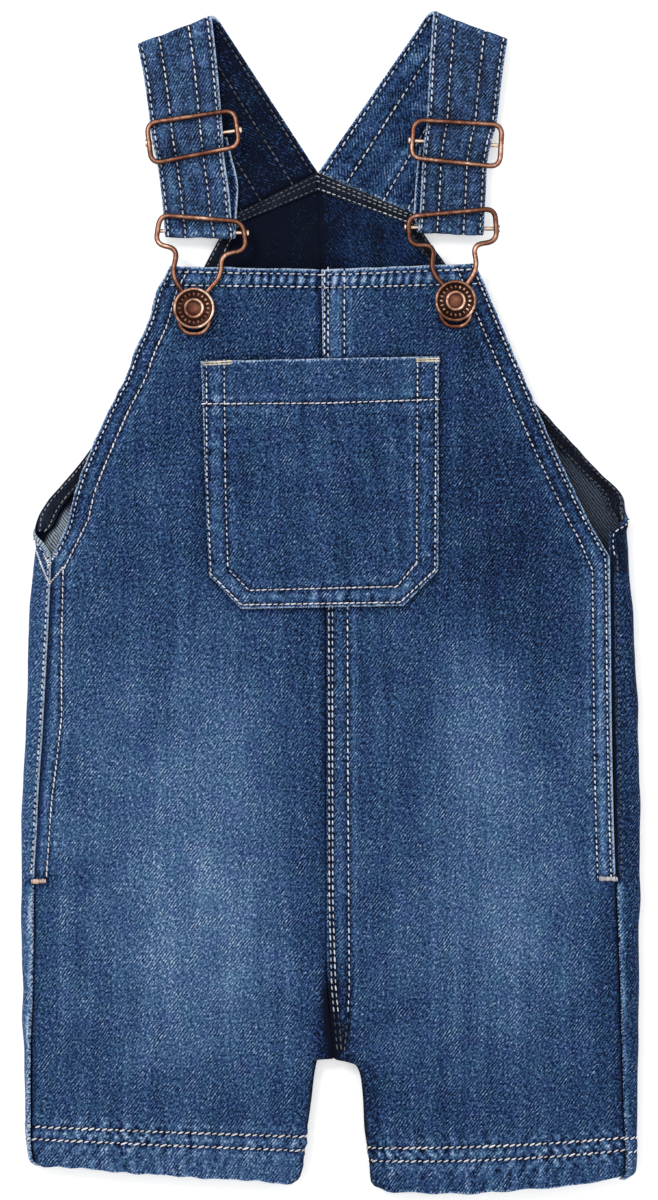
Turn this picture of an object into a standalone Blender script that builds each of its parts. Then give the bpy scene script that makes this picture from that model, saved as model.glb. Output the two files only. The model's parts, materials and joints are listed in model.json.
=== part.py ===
"""Child's short dungarees, fastened at the straps and laid flat on their back.

Tables are in millimetres and meshes in metres. +X runs across the garment, +Y from the leg hems to
the shoulders and +Z up from the surface that it lies on. The origin is on that surface, in the
middle of the outline. Left is the side at -X.
"""

import math
from collections import namedtuple

import bmesh
import bpy
import numpy as np

MM = 0.001

# Walls of cloth, and the gap between pieces that touch
CLOTH = 1.2
FACING = 1.0
POCKET_CLOTH = 1.0
STRAP = 1.5
GAP = 0.3

# How the cloth turns at its edges
SIDE_RADIUS = 3.9
INSEAM_RADIUS = 3.9
INSEAM_HEIGHT = 4.8
FRONT_HEIGHT = CLOTH / 2 + 2 * SIDE_RADIUS

# How the front lies over the back
BODY_CROWN = 1.2
BODY_HALF_WIDTH = 124.0
LEG_CROWN = 1.0
LEG_CENTRE = 71.0
LEG_HALF_WIDTH = 58.0
BIB_SINK = 1.2
ARMHOLE_DROOP = 0.9
ARMHOLE_DROOP_WIDTH = 14.0
SIDE_SEAM_DROP_WIDTH = 4.0
SEAM_RIDGE = 0.7
SEAM_WIDTH = 10.0
SEAM_STEP_WIDTH = 2.5
POCKET_BRIDGE_WIDTH = 24.0

# Levels between which one shape gives way to the next, from the lower to the upper
LEG_TO_BODY = (-200.0, -150.0)
BODY_TO_BIB = (60.0, 140.0)
DROOP_STARTS = (18.0, 48.0)
DROOP_STOPS = (92.0, 118.0)

# Where a panel's mesh lines lie, as lengths of cloth in from its inner edge and from its outer edge
NEAR_INSEAM = (0.0, 1.5, 3.1, 4.7, 6.4)
NEAR_CENTRE_SEAM = (9.8, 12.6)
NEAR_SIDE_SEAM = (14.0, 8.0, 3.5, 0.0)
NEAR_SIDE_FOLD = (21.0, 17.6, 15.2, 12.8, 10.4)
IN_FACING = (8.0, 5.6, 3.0)

# Bands of doubled cloth
FACING_WIDTH = 8.4
FOLD_STEPS = 7

# Metal, in millimetres
WIRE_RADIUS = 1.1
BAR_RADIUS = 0.85
COLLAR_RADIUS = 1.65
COLLAR_LENGTH = 2.2
BUTTON_RADIUS = 8.7
SHANK_RADIUS = 1.7

# Mesh spacing, in millimetres, and steps round what is turned or bent
ROW_SPACING = 13.0
POCKET_SPACING = 8.0
STRAP_SPACING = 4.2
BACK_STATIONS = 5
FRONT_STATIONS = 9
POCKET_STATIONS = 13
NECK_STATIONS = 7
ROUND_STEPS = 28
BAR_STEPS = 10
BEND_STEPS = 3
SLIDER_BEND = 4.0
HOOK_BEND = 3.4

# The body of each panel, a row for each level from the leg hem to the armhole: the inner edge, the
# side fold, the side seam, how many degrees the inseam turns in, and the bow of the row.
Body = namedtuple("Body", "y_in x_in y_out x_side x_seam turn bow")
BODY = {
    -1: (
        Body(-244.6, -17.4, -237.1, -123.8, -121.8, 90, 0.0),
        Body(-241.9, -13.5, -235.0, -126.8, -124.8, 90, 0.0),
        Body(-233.3, -11.9, -228.0, -127.8, -125.9, 90, 0.0),
        Body(-221.0, -10.0, -217.0, -128.3, -125.9, 90, 0.0),
        Body(-208.0, -8.3, -204.0, -128.8, -125.9, 90, 0.0),
        Body(-197.5, -7.0, -192.5, -129.1, -125.9, 90, 0.0),
        Body(-192.4, -5.6, -183.0, -129.4, -125.8, 90, 0.0),
        Body(-192.1, -2.2, -174.0, -129.6, -125.4, 84, 0.0),
        Body(-191.8, 1.2, -166.0, -129.6, -124.9, 70, 0.0),
        Body(-182.0, 0.4, -157.0, -129.8, -124.8, 44, 0.0),
        Body(-170.0, -0.9, -147.0, -130.0, -124.6, 18, 0.0),
        Body(-155.0, -1.8, -137.0, -130.2, -124.5, 0, 0.0),
        Body(-130.0, -2.0, -118.6, -130.3, -124.4, 0, 0.0),
        Body(-95.0, -2.0, -90.9, -130.2, -123.0, 0, 0.0),
        Body(-50.0, -2.0, -48.5, -128.0, -120.4, 0, 0.0),
        Body(-5.0, -2.0, -2.3, -126.8, -118.0, 0, 0.0),
        Body(8.0, -2.2, 5.7, -126.0, -117.6, 0, 0.0),
        Body(20.0, -2.4, 18.7, -124.7, -117.2, 0, 0.0),
    ),
    1: (
        Body(-247.6, 24.5, -242.1, 124.6, 121.0, 90, 3.0),
        Body(-244.0, 17.4, -239.6, 128.0, 123.6, 90, 2.6),
        Body(-234.6, 16.6, -230.0, 128.9, 123.6, 90, 1.6),
        Body(-221.1, 14.6, -217.0, 129.1, 123.0, 90, 0.6),
        Body(-208.0, 13.8, -204.0, 129.3, 122.6, 90, 0.0),
        Body(-199.5, 12.6, -193.0, 129.4, 122.3, 90, 0.0),
        Body(-194.6, 10.2, -183.0, 129.5, 121.9, 90, 0.0),
        Body(-193.2, 6.0, -174.0, 129.6, 121.6, 84, 0.0),
        Body(-191.8, 1.2, -166.0, 129.7, 121.4, 70, 0.0),
        Body(-182.0, 0.4, -157.0, 129.8, 121.2, 44, 0.0),
        Body(-170.0, -0.9, -147.0, 129.6, 120.8, 18, 0.0),
        Body(-155.0, -1.8, -137.0, 129.7, 120.5, 0, 0.0),
        Body(-130.0, -2.0, -118.6, 130.2, 119.8, 0, 0.0),
        Body(-95.0, -2.0, -90.9, 130.2, 118.9, 0, 0.0),
        Body(-50.0, -2.0, -48.5, 129.3, 118.1, 0, 0.0),
        Body(-5.0, -2.0, -7.3, 127.2, 117.7, 0, 0.0),
        Body(8.0, -2.2, 7.0, 126.2, 117.5, 0, 0.0),
        Body(20.0, -2.4, 17.8, 125.3, 117.4, 0, 0.0),
    ),
}

# The back above the armhole's lowest point: the centre seam, the armhole's edge and the length of
# cloth that still wraps forward there. The last row is the edge that the strap is sewn to.
BackTop = namedtuple("BackTop", "y_in x_in y_out x_out wrap")
BACK_TOP = {
    -1: (
        BackTop(24.0, -2.4, 24.2, -123.8, 11.4),
        BackTop(30.0, -2.5, 29.5, -125.2, 6.5),
        BackTop(34.0, -2.6, 33.0, -124.6, 3.0),
        BackTop(40.0, -2.7, 39.5, -121.4, 0.4),
        BackTop(56.0, -2.9, 55.2, -108.3, 0.0),
        BackTop(67.0, -3.0, 65.7, -100.3, 0.0),
        BackTop(88.0, -3.3, 85.0, -86.0, 0.0),
        BackTop(110.0, -3.6, 105.0, -73.5, 0.0),
        BackTop(134.0, -4.0, 125.0, -62.5, 0.0),
        BackTop(152.0, -4.6, 141.3, -53.4, 0.0),
        BackTop(165.0, -5.1, 151.0, -48.3, 0.0),
        BackTop(173.0, -5.5, 157.2, -44.2, 0.0),
        BackTop(181.2, -5.8, 164.0, -39.6, 0.0),
    ),
    1: (
        BackTop(24.0, -2.4, 23.5, 125.1, 16.1),
        BackTop(30.0, -2.5, 28.3, 124.7, 15.5),
        BackTop(34.0, -2.6, 32.5, 125.0, 10.5),
        BackTop(40.0, -2.7, 37.5, 124.6, 5.0),
        BackTop(45.0, -2.8, 43.0, 123.7, 0.8),
        BackTop(56.0, -2.9, 54.8, 113.1, 0.0),
        BackTop(67.0, -3.0, 67.8, 101.0, 0.0),
        BackTop(88.0, -3.3, 84.6, 85.7, 0.0),
        BackTop(110.0, -3.6, 103.0, 71.5, 0.0),
        BackTop(134.0, -4.0, 124.0, 60.0, 0.0),
        BackTop(152.0, -4.6, 142.2, 48.6, 0.0),
        BackTop(165.0, -5.1, 151.0, 42.0, 0.0),
        BackTop(173.0, -5.5, 157.2, 38.2, 0.0),
        BackTop(181.2, -5.8, 163.6, 35.0, 0.0),
    ),
}

# The row of BACK_TOP at which the armhole's facing starts.
FACING_FOOT_ROW = {-1: 1, 1: 2}

# The bib above the armhole's lowest point: the centre seam and the armhole's edge.
Bib = namedtuple("Bib", "y_in x_in y_out x_out")
BIB = {
    -1: (
        Bib(24.0, -2.4, 23.5, -114.8),
        Bib(34.0, -2.6, 32.1, -110.9),
        Bib(46.0, -2.8, 44.7, -108.0),
        Bib(60.0, -3.0, 59.0, -102.6),
        Bib(82.0, -3.2, 80.0, -93.4),
        Bib(96.5, -3.4, 96.0, -85.4),
        Bib(103.0, -3.5, 102.7, -83.3),
        Bib(117.0, -3.7, 117.0, -77.0),
        Bib(129.5, -3.9, 130.2, -73.3),
        Bib(139.4, -4.1, 140.9, -67.5),
    ),
    1: (
        Bib(24.0, -2.4, 23.0, 114.6),
        Bib(34.0, -2.6, 31.7, 109.6),
        Bib(46.0, -2.8, 47.1, 102.0),
        Bib(67.0, -3.1, 67.8, 92.3),
        Bib(95.0, -3.4, 94.1, 81.2),
        Bib(139.4, -4.1, 142.0, 60.9),
    ),
}

# Soft folds of the front: the line that each follows, how wide it is, and its height or depth.
Fold = namedtuple("Fold", "x0 y0 x1 y1 width height")
FOLDS = (
    Fold(48, -20, 62, -128, 9, -0.9),
    Fold(20, -12, 25, -150, 7, 0.7),
    Fold(-20, -18, -27, -140, 8, 0.6),
    Fold(-62, -30, -52, -152, 10, -0.8),
    Fold(-10, -150, -42, -208, 6, -1.0),
    Fold(14, -152, 46, -212, 6, -1.0),
    Fold(96, -10, 101, -96, 8, 0.7),
    Fold(-100, -22, -104, -104, 8, 0.7),
    Fold(-94, 12, -76, 76, 7, 0.5),
    Fold(88, 10, 70, 76, 7, 0.5),
    Fold(80, -188, 85, -240, 9, 0.7),
    Fold(-70, -186, -73, -236, 9, 0.7),
)

# The patch pocket, from its mouth down: its two side edges.
Pocket = namedtuple("Pocket", "y_left x_left y_right x_right")
POCKET = (
    Pocket(100.8, -54.6, 102.8, 45.5),
    Pocket(83.8, -53.7, 84.6, 45.0),
    Pocket(55.2, -52.8, 57.3, 45.3),
    Pocket(30.0, -51.8, 32.0, 45.2),
    Pocket(10.7, -50.8, 12.8, 45.0),
    Pocket(-3.1, -37.6, -1.8, 30.5),
)

# Each strap, from the back neck over the shoulder fold and round the hook's bar to the slider's
# bar: its two edges and the height of its middle layer. A turn follows each part but the last.
Strap = namedtuple("Strap", "x_left y_left x_right y_right z")
STRAP_BACK = {
    -1: (Strap(-39.6, 164.35, -5.9, 181.6, 0.75), Strap(-78.5, 230.8, -46.7, 244.3, 0.75)),
    1: (Strap(-4.9, 181.5, 34.8, 164.1, 0.75), Strap(39.8, 246.1, 72.9, 234.0, 0.75)),
}
STRAP_FRONT = {
    -1: (
        Strap(-81.0, 232.8, -49.9, 244.1, 5.35),
        Strap(-78.4, 219.0, -47.8, 225.3, 4.6),
        Strap(-76.2, 202.6, -46.1, 205.8, 3.6),
        Strap(-74.9, 193.3, -45.4, 197.3, 7.5),
        Strap(-73.0, 184.7, -45.1, 190.0, 4.5),
        Strap(-71.1, 169.5, -42.7, 172.2, 4.9),
        Strap(-70.3, 161.6, -41.5, 159.6, 6.3),
        Strap(-69.7, 155.7, -40.0, 155.2, 9.05),
    ),
    1: (
        Strap(43.0, 246.0, 74.0, 234.1, 5.35),
        Strap(41.4, 222.0, 71.7, 217.5, 4.6),
        Strap(40.5, 202.6, 69.8, 201.0, 3.6),
        Strap(39.3, 193.7, 67.2, 192.0, 7.5),
        Strap(38.6, 186.2, 65.8, 183.6, 4.5),
        Strap(37.9, 171.5, 65.3, 172.5, 4.9),
        Strap(37.3, 162.2, 64.8, 164.1, 6.3),
        Strap(36.8, 157.6, 64.4, 156.5, 9.05),
    ),
}
STRAP_RETURN = {
    -1: (
        Strap(-69.7, 155.7, -39.9, 155.2, 4.95),
        Strap(-68.6, 162.0, -39.6, 163.0, 3.9),
        Strap(-67.6, 172.0, -39.0, 174.0, 2.9),
        Strap(-71.0, 184.9, -42.3, 189.8, 2.6),
        Strap(-72.6, 191.6, -43.6, 195.6, 3.6),
    ),
    1: (
        Strap(36.2, 157.6, 64.4, 156.5, 4.95),
        Strap(35.0, 164.0, 63.6, 165.0, 3.9),
        Strap(35.6, 174.0, 63.9, 174.5, 2.9),
        Strap(36.6, 186.0, 64.4, 184.0, 2.6),
        Strap(37.4, 191.6, 65.6, 190.2, 3.6),
    ),
}

# Points in plan that the shoulder folds and the loops round the hooks bulge away from.
INSIDE_SHOULDER = (0.0, 180.0)
INSIDE_LOOP = (0.0, 200.0)

# Wire frames: corners in order, and the two ends of each bar.
Point = namedtuple("Point", "x y z")
SLIDER_CORNERS = {
    -1: (
        Point(-77.4, 201.1, 6.3),
        Point(-40.5, 206.6, 6.3),
        Point(-38.4, 191.3, 7.1),
        Point(-75.3, 184.0, 7.1),
    ),
    1: (
        Point(35.1, 202.5, 6.3),
        Point(72.1, 200.4, 6.3),
        Point(71.0, 182.6, 7.1),
        Point(33.7, 186.5, 7.1),
    ),
}
SLIDER_BAR = {
    -1: (Point(-78.1, 192.6, 5.7), Point(-37.4, 198.3, 5.7)),
    1: (Point(32.6, 193.9, 5.7), Point(72.9, 191.7, 5.7)),
}
HOOK_CORNERS = {
    -1: (
        Point(-71.6, 162.3, 9.0),
        Point(-37.0, 159.4, 9.0),
        Point(-35.4, 147.6, 9.0),
        Point(-45.9, 145.4, 10.0),
        Point(-46.0, 136.4, 10.3),
        Point(-54.1, 127.6, 10.3),
        Point(-54.1, 124.0, 10.3),
        Point(-51.4, 121.2, 10.3),
        Point(-51.0, 116.0, 10.3),
        Point(-54.2, 112.4, 10.3),
        Point(-60.4, 112.4, 10.3),
        Point(-63.6, 116.0, 10.3),
        Point(-63.2, 121.2, 10.3),
        Point(-60.5, 124.0, 10.3),
        Point(-60.5, 127.6, 10.3),
        Point(-66.6, 136.6, 10.3),
        Point(-64.2, 148.0, 9.8),
        Point(-73.6, 150.0, 9.0),
    ),
    1: (
        Point(32.4, 161.6, 9.0),
        Point(68.9, 164.9, 9.0),
        Point(69.8, 151.2, 9.0),
        Point(59.6, 149.6, 9.8),
        Point(61.6, 140.0, 10.3),
        Point(55.5, 130.7, 10.3),
        Point(55.5, 127.1, 10.3),
        Point(58.2, 124.3, 10.3),
        Point(58.6, 119.1, 10.3),
        Point(55.4, 115.5, 10.3),
        Point(49.2, 115.5, 10.3),
        Point(46.0, 119.1, 10.3),
        Point(46.4, 124.3, 10.3),
        Point(49.1, 127.1, 10.3),
        Point(49.1, 130.7, 10.3),
        Point(42.0, 138.6, 10.3),
        Point(43.4, 149.4, 9.8),
        Point(33.0, 149.6, 9.0),
    ),
}
HOOK_BAR = {
    -1: (Point(-73.9, 155.8, 7.0), Point(-34.3, 154.8, 7.0)),
    1: (Point(30.9, 157.3, 7.0), Point(71.1, 156.6, 7.0)),
}
BUTTON_CENTRES = {-1: (-57.3, 122.8), 1: (52.3, 125.9)}

# The button's section, from the middle of its face down to its foot: radius and height.
BUTTON_PROFILE = (
    (0.0, 4.75),
    (2.9, 4.65),
    (3.3, 5.0),
    (4.2, 5.0),
    (4.5, 4.2),
    (7.4, 4.15),
    (7.7, 4.9),
    (8.4, 4.95),
    (BUTTON_RADIUS, 4.5),
    (BUTTON_RADIUS, 3.3),
    (8.1, 2.6),
    (SHANK_RADIUS, 2.6),
    (SHANK_RADIUS, 0.0),
    (0.0, 0.0),
)

DENIM = (0.055, 0.115, 0.25)
DENIM_DARK = (0.02, 0.035, 0.09)
COPPER = (0.48, 0.25, 0.16)


def smooth_step(value, low, high):
    """From 0 at low to 1 at high, level at both ends."""
    part = np.clip((np.asarray(value, float) - low) / (high - low), 0.0, 1.0)
    return part * part * (3 - 2 * part)


def monotone(knots, values, wanted):
    """A smooth curve through the values that never overshoots them."""
    widths = np.diff(knots)
    slopes = np.diff(values) / widths
    tangents = np.zeros(len(values))
    tangents[0], tangents[-1] = slopes[0], slopes[-1]
    before, after = slopes[:-1], slopes[1:]
    agree = before * after > 0
    mean = 2 * before * after / np.where(agree, before + after, 1.0)
    tangents[1:-1] = np.where(agree, mean, 0.0)
    place = np.clip(np.searchsorted(knots, wanted, side="right") - 1, 0, len(widths) - 1)
    width = widths[place]
    part = (wanted - knots[place]) / width
    start, end = values[place], values[place + 1]
    ease = part * part * (3 - 2 * part)
    leaving = part * (1 - part) ** 2 * width * tangents[place]
    arriving = part * part * (part - 1) * width * tangents[place + 1]
    return start + (end - start) * ease + leaving + arriving


def spaced(marks, spacing):
    """The marks with more values between them, no further apart than the spacing."""
    values = [marks[0]]
    for low, high in zip(marks[:-1], marks[1:]):
        count = max(1, math.ceil((high - low) / spacing - 0.01))
        values.extend(low + (high - low) * step / count for step in range(1, count + 1))
    return np.array(values)


def blended_rows(table, along, spacing, start=0.0, stop=None):
    """Rows on smooth curves through a table's rows, between two distances along it."""
    stop = along[-1] if stop is None else stop
    inside = [mark for mark in along if start + 0.5 < mark < stop - 0.5]
    wanted = spaced([start, *inside, stop], spacing)
    columns = [monotone(along, column, wanted) for column in np.array(table, float).T]
    return [type(table[0])(*values) for values in zip(*columns)]


def distances_along(xs, ys):
    return np.concatenate([[0.0], np.cumsum(np.hypot(np.diff(xs), np.diff(ys)))])


# One row of a panel: its inner and outer ends, the turn of the inner edge in degrees, the length of
# cloth that wraps forward at the outer end, and the bow of the row.
Row = namedtuple("Row", "y_in x_in y_out x_out turn wrap bow")
HALF_WRAP = math.pi * SIDE_RADIUS


def wrap_to(reach):
    """The cloth that wraps forward when its middle layer reaches this far back over the front."""
    if reach >= SIDE_RADIUS:
        return HALF_WRAP + reach - SIDE_RADIUS
    return SIDE_RADIUS * (math.pi - math.asin(1 - reach / SIDE_RADIUS))


def side_wrap(body):
    """The wrap that brings the back's edge to the side seam, less half of the gap there."""
    return wrap_to(abs(body.x_side - body.x_seam) - CLOTH / 2 - GAP / 2)


def back_table(side):
    body = [Row(b.y_in, b.x_in, b.y_out, b.x_side, b.turn, side_wrap(b), b.bow) for b in BODY[side]]
    top = [Row(t.y_in, t.x_in, t.y_out, t.x_out, 0.0, t.wrap, 0.0) for t in BACK_TOP[side]]
    return body + top


def front_table(side):
    """The front's rows. Its edge is drawn in further where the back's edge leans against it."""
    body = []
    for b in BODY[side]:
        wrap = side_wrap(b)
        lean = math.sin(math.pi - min(wrap / SIDE_RADIUS, math.pi))
        edge = b.x_seam - side * (GAP / 2 + CLOTH / 2 * lean)
        body.append(Row(b.y_in, b.x_in, b.y_out, edge, b.turn, wrap, b.bow))
    top = [Row(t.y_in, t.x_in, t.y_out, t.x_out, 0.0, HALF_WRAP, 0.0) for t in BIB[side]]
    return body + top


def row_distances(table):
    return distances_along([row.x_out for row in table], [row.y_out for row in table])


def fold_height(x, y):
    """The folds' height at points of the front."""
    total = np.zeros(np.shape(x))
    for fold in FOLDS:
        run = np.array([fold.x1 - fold.x0, fold.y1 - fold.y0], float)
        part = ((x - fold.x0) * run[0] + (y - fold.y0) * run[1]) / (run @ run)
        clamped = np.clip(part, 0.0, 1.0)
        off = np.hypot(x - fold.x0 - clamped * run[0], y - fold.y0 - clamped * run[1])
        swell = 0.35 + 0.65 * np.sin(math.pi * clamped)
        total += fold.height * swell * np.exp(-((off / fold.width) ** 2))
    return total


def front_height(x, y):
    """The height of the front's middle layer, without the ridge of the centre seam."""
    body = BODY_CROWN * np.clip(1 - (x / BODY_HALF_WIDTH) ** 2, 0, 1)
    leg = LEG_CROWN * np.clip(1 - ((np.abs(x) - LEG_CENTRE) / LEG_HALF_WIDTH) ** 2, 0, 1)
    in_body = smooth_step(y, *LEG_TO_BODY)
    sink = BIB_SINK * smooth_step(y, *BODY_TO_BIB)
    return FRONT_HEIGHT + body * in_body + leg * (1 - in_body) - sink + fold_height(x, y)


def row_spans(row, wraps):
    """A row's inner inset, flat run and forward wrap, with its turn at each end in radians."""
    turn = math.radians(row.turn)
    wrap = row.wrap if wraps else 0.0
    side_turn = min(wrap / SIDE_RADIUS, math.pi / 2)
    inset = GAP / 2 + CLOTH / 2 * math.sin(turn)
    width = math.hypot(row.x_out - row.x_in, row.y_out - row.y_in)
    turned = INSEAM_RADIUS * math.sin(turn) + (SIDE_RADIUS + CLOTH / 2) * math.sin(side_turn)
    return inset, width - inset - turned, wrap, turn


def row_shape(row, lengths, wraps):
    """Plan points, inner turn and side turn at these lengths of cloth from a row's inner edge."""
    inset, flat, _, turn = row_spans(row, wraps)
    inner = np.clip(turn - lengths / INSEAM_RADIUS, 0, turn)
    past_inner = np.maximum(lengths - INSEAM_RADIUS * turn, 0)
    past_flat = np.maximum(past_inner - flat, 0)
    outer = np.clip(past_flat / SIDE_RADIUS, 0, math.pi)
    reach = inset + INSEAM_RADIUS * (math.sin(turn) - np.sin(inner)) + np.minimum(past_inner, flat)
    reach = reach + SIDE_RADIUS * np.sin(outer) - np.maximum(past_flat - HALF_WRAP, 0)
    plan = np.array([row.x_out - row.x_in, row.y_out - row.y_in])
    part = reach / np.hypot(*plan)
    x = row.x_in + plan[0] * part
    y = row.y_in + plan[1] * part - row.bow * 4 * part * (1 - part)
    return x, y, inner, outer


def row_length(row, wraps):
    """The length of cloth from a row's inner edge to its outer edge."""
    _, flat, wrap, turn = row_spans(row, wraps)
    return INSEAM_RADIUS * turn + flat + wrap


def back_row(row, lengths):
    x, y, inner, outer = row_shape(row, lengths, True)
    rise = INSEAM_RADIUS * (1 - np.cos(inner)) + SIDE_RADIUS * (1 - np.cos(outer))
    return np.column_stack([x, y, CLOTH / 2 + rise])


def front_row(side, row, lengths):
    x, y, inner, _ = row_shape(row, lengths, False)
    height = front_height(x, y)
    to_edge = row_length(row, False) - lengths
    droop = smooth_step(row.y_out, *DROOP_STARTS) * (1 - smooth_step(row.y_out, *DROOP_STOPS))
    height -= ARMHOLE_DROOP * droop * np.clip(1 - to_edge / ARMHOLE_DROOP_WIDTH, 0, 1) ** 2
    side_end = CLOTH / 2 + SIDE_RADIUS * (1 - math.cos(min(row.wrap / SIDE_RADIUS, math.pi)))
    height -= (FRONT_HEIGHT - side_end) * np.exp(-((to_edge / SIDE_SEAM_DROP_WIDTH) ** 2))
    if side > 0:
        ridge = 1 - smooth_step(lengths, SEAM_WIDTH, SEAM_WIDTH + SEAM_STEP_WIDTH)
        height += SEAM_RIDGE * ridge * (1 - row.turn / 90)
    height -= (height - INSEAM_HEIGHT) * (1 - np.cos(inner))
    return np.column_stack([x, y, height])


def stations(length, near_inner, count, near_outer):
    """Lengths of cloth across a row: close together at both edges, even between them."""
    middle = np.linspace(near_inner[-1], length - near_outer[0], count)[1:-1]
    return np.concatenate([near_inner, middle, length - np.array(near_outer)])


def grid_normals(grid, side):
    across = np.gradient(grid, axis=1)
    up = np.gradient(grid, axis=0)
    normals = np.cross(across, up) * side
    return normals / np.linalg.norm(normals, axis=2, keepdims=True)


def principled(name, colour, roughness, metallic):
    material = bpy.data.materials.new(name)
    material.use_nodes = True
    shader = material.node_tree.nodes["Principled BSDF"]
    shader.inputs["Base Color"].default_value = (*colour, 1.0)
    shader.inputs["Roughness"].default_value = roughness
    shader.inputs["Metallic"].default_value = metallic
    return material


def link_mesh(name, mesh, collection, material=None):
    thing = bpy.data.objects.new(name, mesh)
    collection.objects.link(thing)
    if material:
        mesh.materials.append(material)
    return thing


def cloth_wall(name, grid, side, thickness, lift, collection, material):
    """A closed wall of cloth on a grid of points, lifted along the grid's normals."""
    normals = grid_normals(grid, side)
    upper = (grid + normals * (lift + thickness / 2)) * MM
    lower = (grid + normals * (lift - thickness / 2)) * MM
    rows, columns = grid.shape[:2]
    shape = bmesh.new()
    faces_of = [
        [[shape.verts.new(layer[r, c]) for c in range(columns)] for r in range(rows)]
        for layer in (upper, lower)
    ]
    for layer in faces_of:
        for r in range(rows - 1):
            for c in range(columns - 1):
                corners = (layer[r][c], layer[r][c + 1], layer[r + 1][c + 1], layer[r + 1][c])
                shape.faces.new(corners)
    rim = [(0, c) for c in range(columns)]
    rim += [(r, columns - 1) for r in range(1, rows)]
    rim += [(rows - 1, c) for c in range(columns - 2, -1, -1)]
    rim += [(r, 0) for r in range(rows - 2, 0, -1)]
    top, bottom = faces_of
    for (r, c), (next_r, next_c) in zip(rim, rim[1:] + rim[:1]):
        shape.faces.new((top[r][c], top[next_r][next_c], bottom[next_r][next_c], bottom[r][c]))
    bmesh.ops.recalc_face_normals(shape, faces=shape.faces)
    mesh = bpy.data.meshes.new(name)
    shape.to_mesh(mesh)
    shape.free()
    mesh.shade_smooth()
    mesh.set_sharp_from_angle(angle=math.radians(50))
    return link_mesh(name, mesh, collection, material)


def back_panel(side, name, collection, material):
    """The back of one side, from the strap's seam to the leg hem, wrapping round the side fold."""
    table = back_table(side)
    near_outer = NEAR_SIDE_FOLD + IN_FACING + (0.0,)
    grid = [
        back_row(row, stations(row_length(row, True), NEAR_INSEAM, BACK_STATIONS, near_outer))
        for row in blended_rows(table, row_distances(table), ROW_SPACING)
    ]
    cloth_wall(name, np.array(grid), side, CLOTH, 0.0, collection, material)


def front_stations(row):
    """Places across a front row, closer together at its seams."""
    near_inner = NEAR_INSEAM + NEAR_CENTRE_SEAM
    return stations(row_length(row, False), near_inner, FRONT_STATIONS, NEAR_SIDE_SEAM)


def front_panel(side, name, collection, material):
    """The front of one side, from the bib's top edge to the leg hem."""
    table = front_table(side)
    grid = [
        front_row(side, row, front_stations(row))
        for row in blended_rows(table, row_distances(table), ROW_SPACING)
    ]
    cloth_wall(name, np.array(grid), side, CLOTH, 0.0, collection, material)


def armhole_facing(side, name, collection, material):
    """The facing inside the back's armhole, from the armhole's tip to the neck facing."""
    table = back_table(side)
    along = row_distances(table)
    start = along[len(BODY[side]) + FACING_FOOT_ROW[side]]
    rows = blended_rows(table, along, ROW_SPACING, start, along[-2] - GAP)
    across = np.array(IN_FACING + (GAP,))
    grid = [back_row(row, row_length(row, True) - across) for row in rows]
    lift = CLOTH / 2 + GAP + FACING / 2
    cloth_wall(name, np.array(grid), side, FACING, lift, collection, material)


def neck_facing(side, name, collection, material):
    """The facing inside the back's top edge, on one side of the centre seam."""
    table = back_table(side)
    along = row_distances(table)
    rows = blended_rows(table, along, FACING_WIDTH / 2, along[-2], along[-1] - GAP)
    grid = [back_row(row, np.linspace(0, row_length(row, True) - GAP, NECK_STATIONS)) for row in rows]
    lift = CLOTH / 2 + GAP + FACING / 2
    cloth_wall(name, np.array(grid), side, FACING, lift, collection, material)


def pocket_bridge(x):
    """How far the pocket stands up where it passes over the ridge of the centre seam."""
    middle = BODY[1][-1].x_in + SEAM_WIDTH / 2
    return SEAM_RIDGE * np.clip(1.5 - np.abs(x - middle) / POCKET_BRIDGE_WIDTH * 2, 0, 1)


def patch_pocket(name, collection, material):
    """The chest pocket, laid on the bib."""
    mouth_down = distances_along([row.x_left for row in POCKET], [row.y_left for row in POCKET])
    grid = []
    for row in blended_rows(POCKET, mouth_down, POCKET_SPACING):
        part = np.linspace(0, 1, POCKET_STATIONS)
        x = row.x_left + (row.x_right - row.x_left) * part
        y = row.y_left + (row.y_right - row.y_left) * part
        grid.append(np.column_stack([x, y, front_height(x, y) + pocket_bridge(x)]))
    lift = CLOTH / 2 + GAP + POCKET_CLOTH / 2
    cloth_wall(name, np.array(grid), -1, POCKET_CLOTH, lift, collection, material)


def strap_part(rows):
    """Pairs of edge points on a smooth path through a part's rows."""
    middles = np.array([[(r.x_left + r.x_right) / 2, (r.y_left + r.y_right) / 2] for r in rows])
    along = distances_along(middles[:, 0], middles[:, 1])
    if len(rows) == 2:
        return list(rows)
    return blended_rows(rows, along, STRAP_SPACING)


def strap_turn(last, first, outward):
    """The half turn between two layers of a strap, bulging outward in plan."""
    radius = abs(first.z - last.z) / 2
    turned = []
    for step in range(1, FOLD_STEPS):
        angle = math.pi * step / FOLD_STEPS
        bulge = radius * math.sin(angle)
        part = (1 - math.cos(angle)) / 2
        ends = np.array(last) * (1 - part) + np.array(first) * part
        ends += bulge * np.array([outward[0], outward[1], outward[0], outward[1], 0])
        turned.append(Strap(*ends))
    return turned


def away_from(row, inside):
    """The plan direction square to a strap's row, pointing away from a point."""
    run = np.array([row.x_right - row.x_left, row.y_right - row.y_left])
    square = np.array([-run[1], run[0]]) / np.hypot(*run)
    return square if square @ (np.array([row.x_left, row.y_left]) - inside) > 0 else -square


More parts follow.
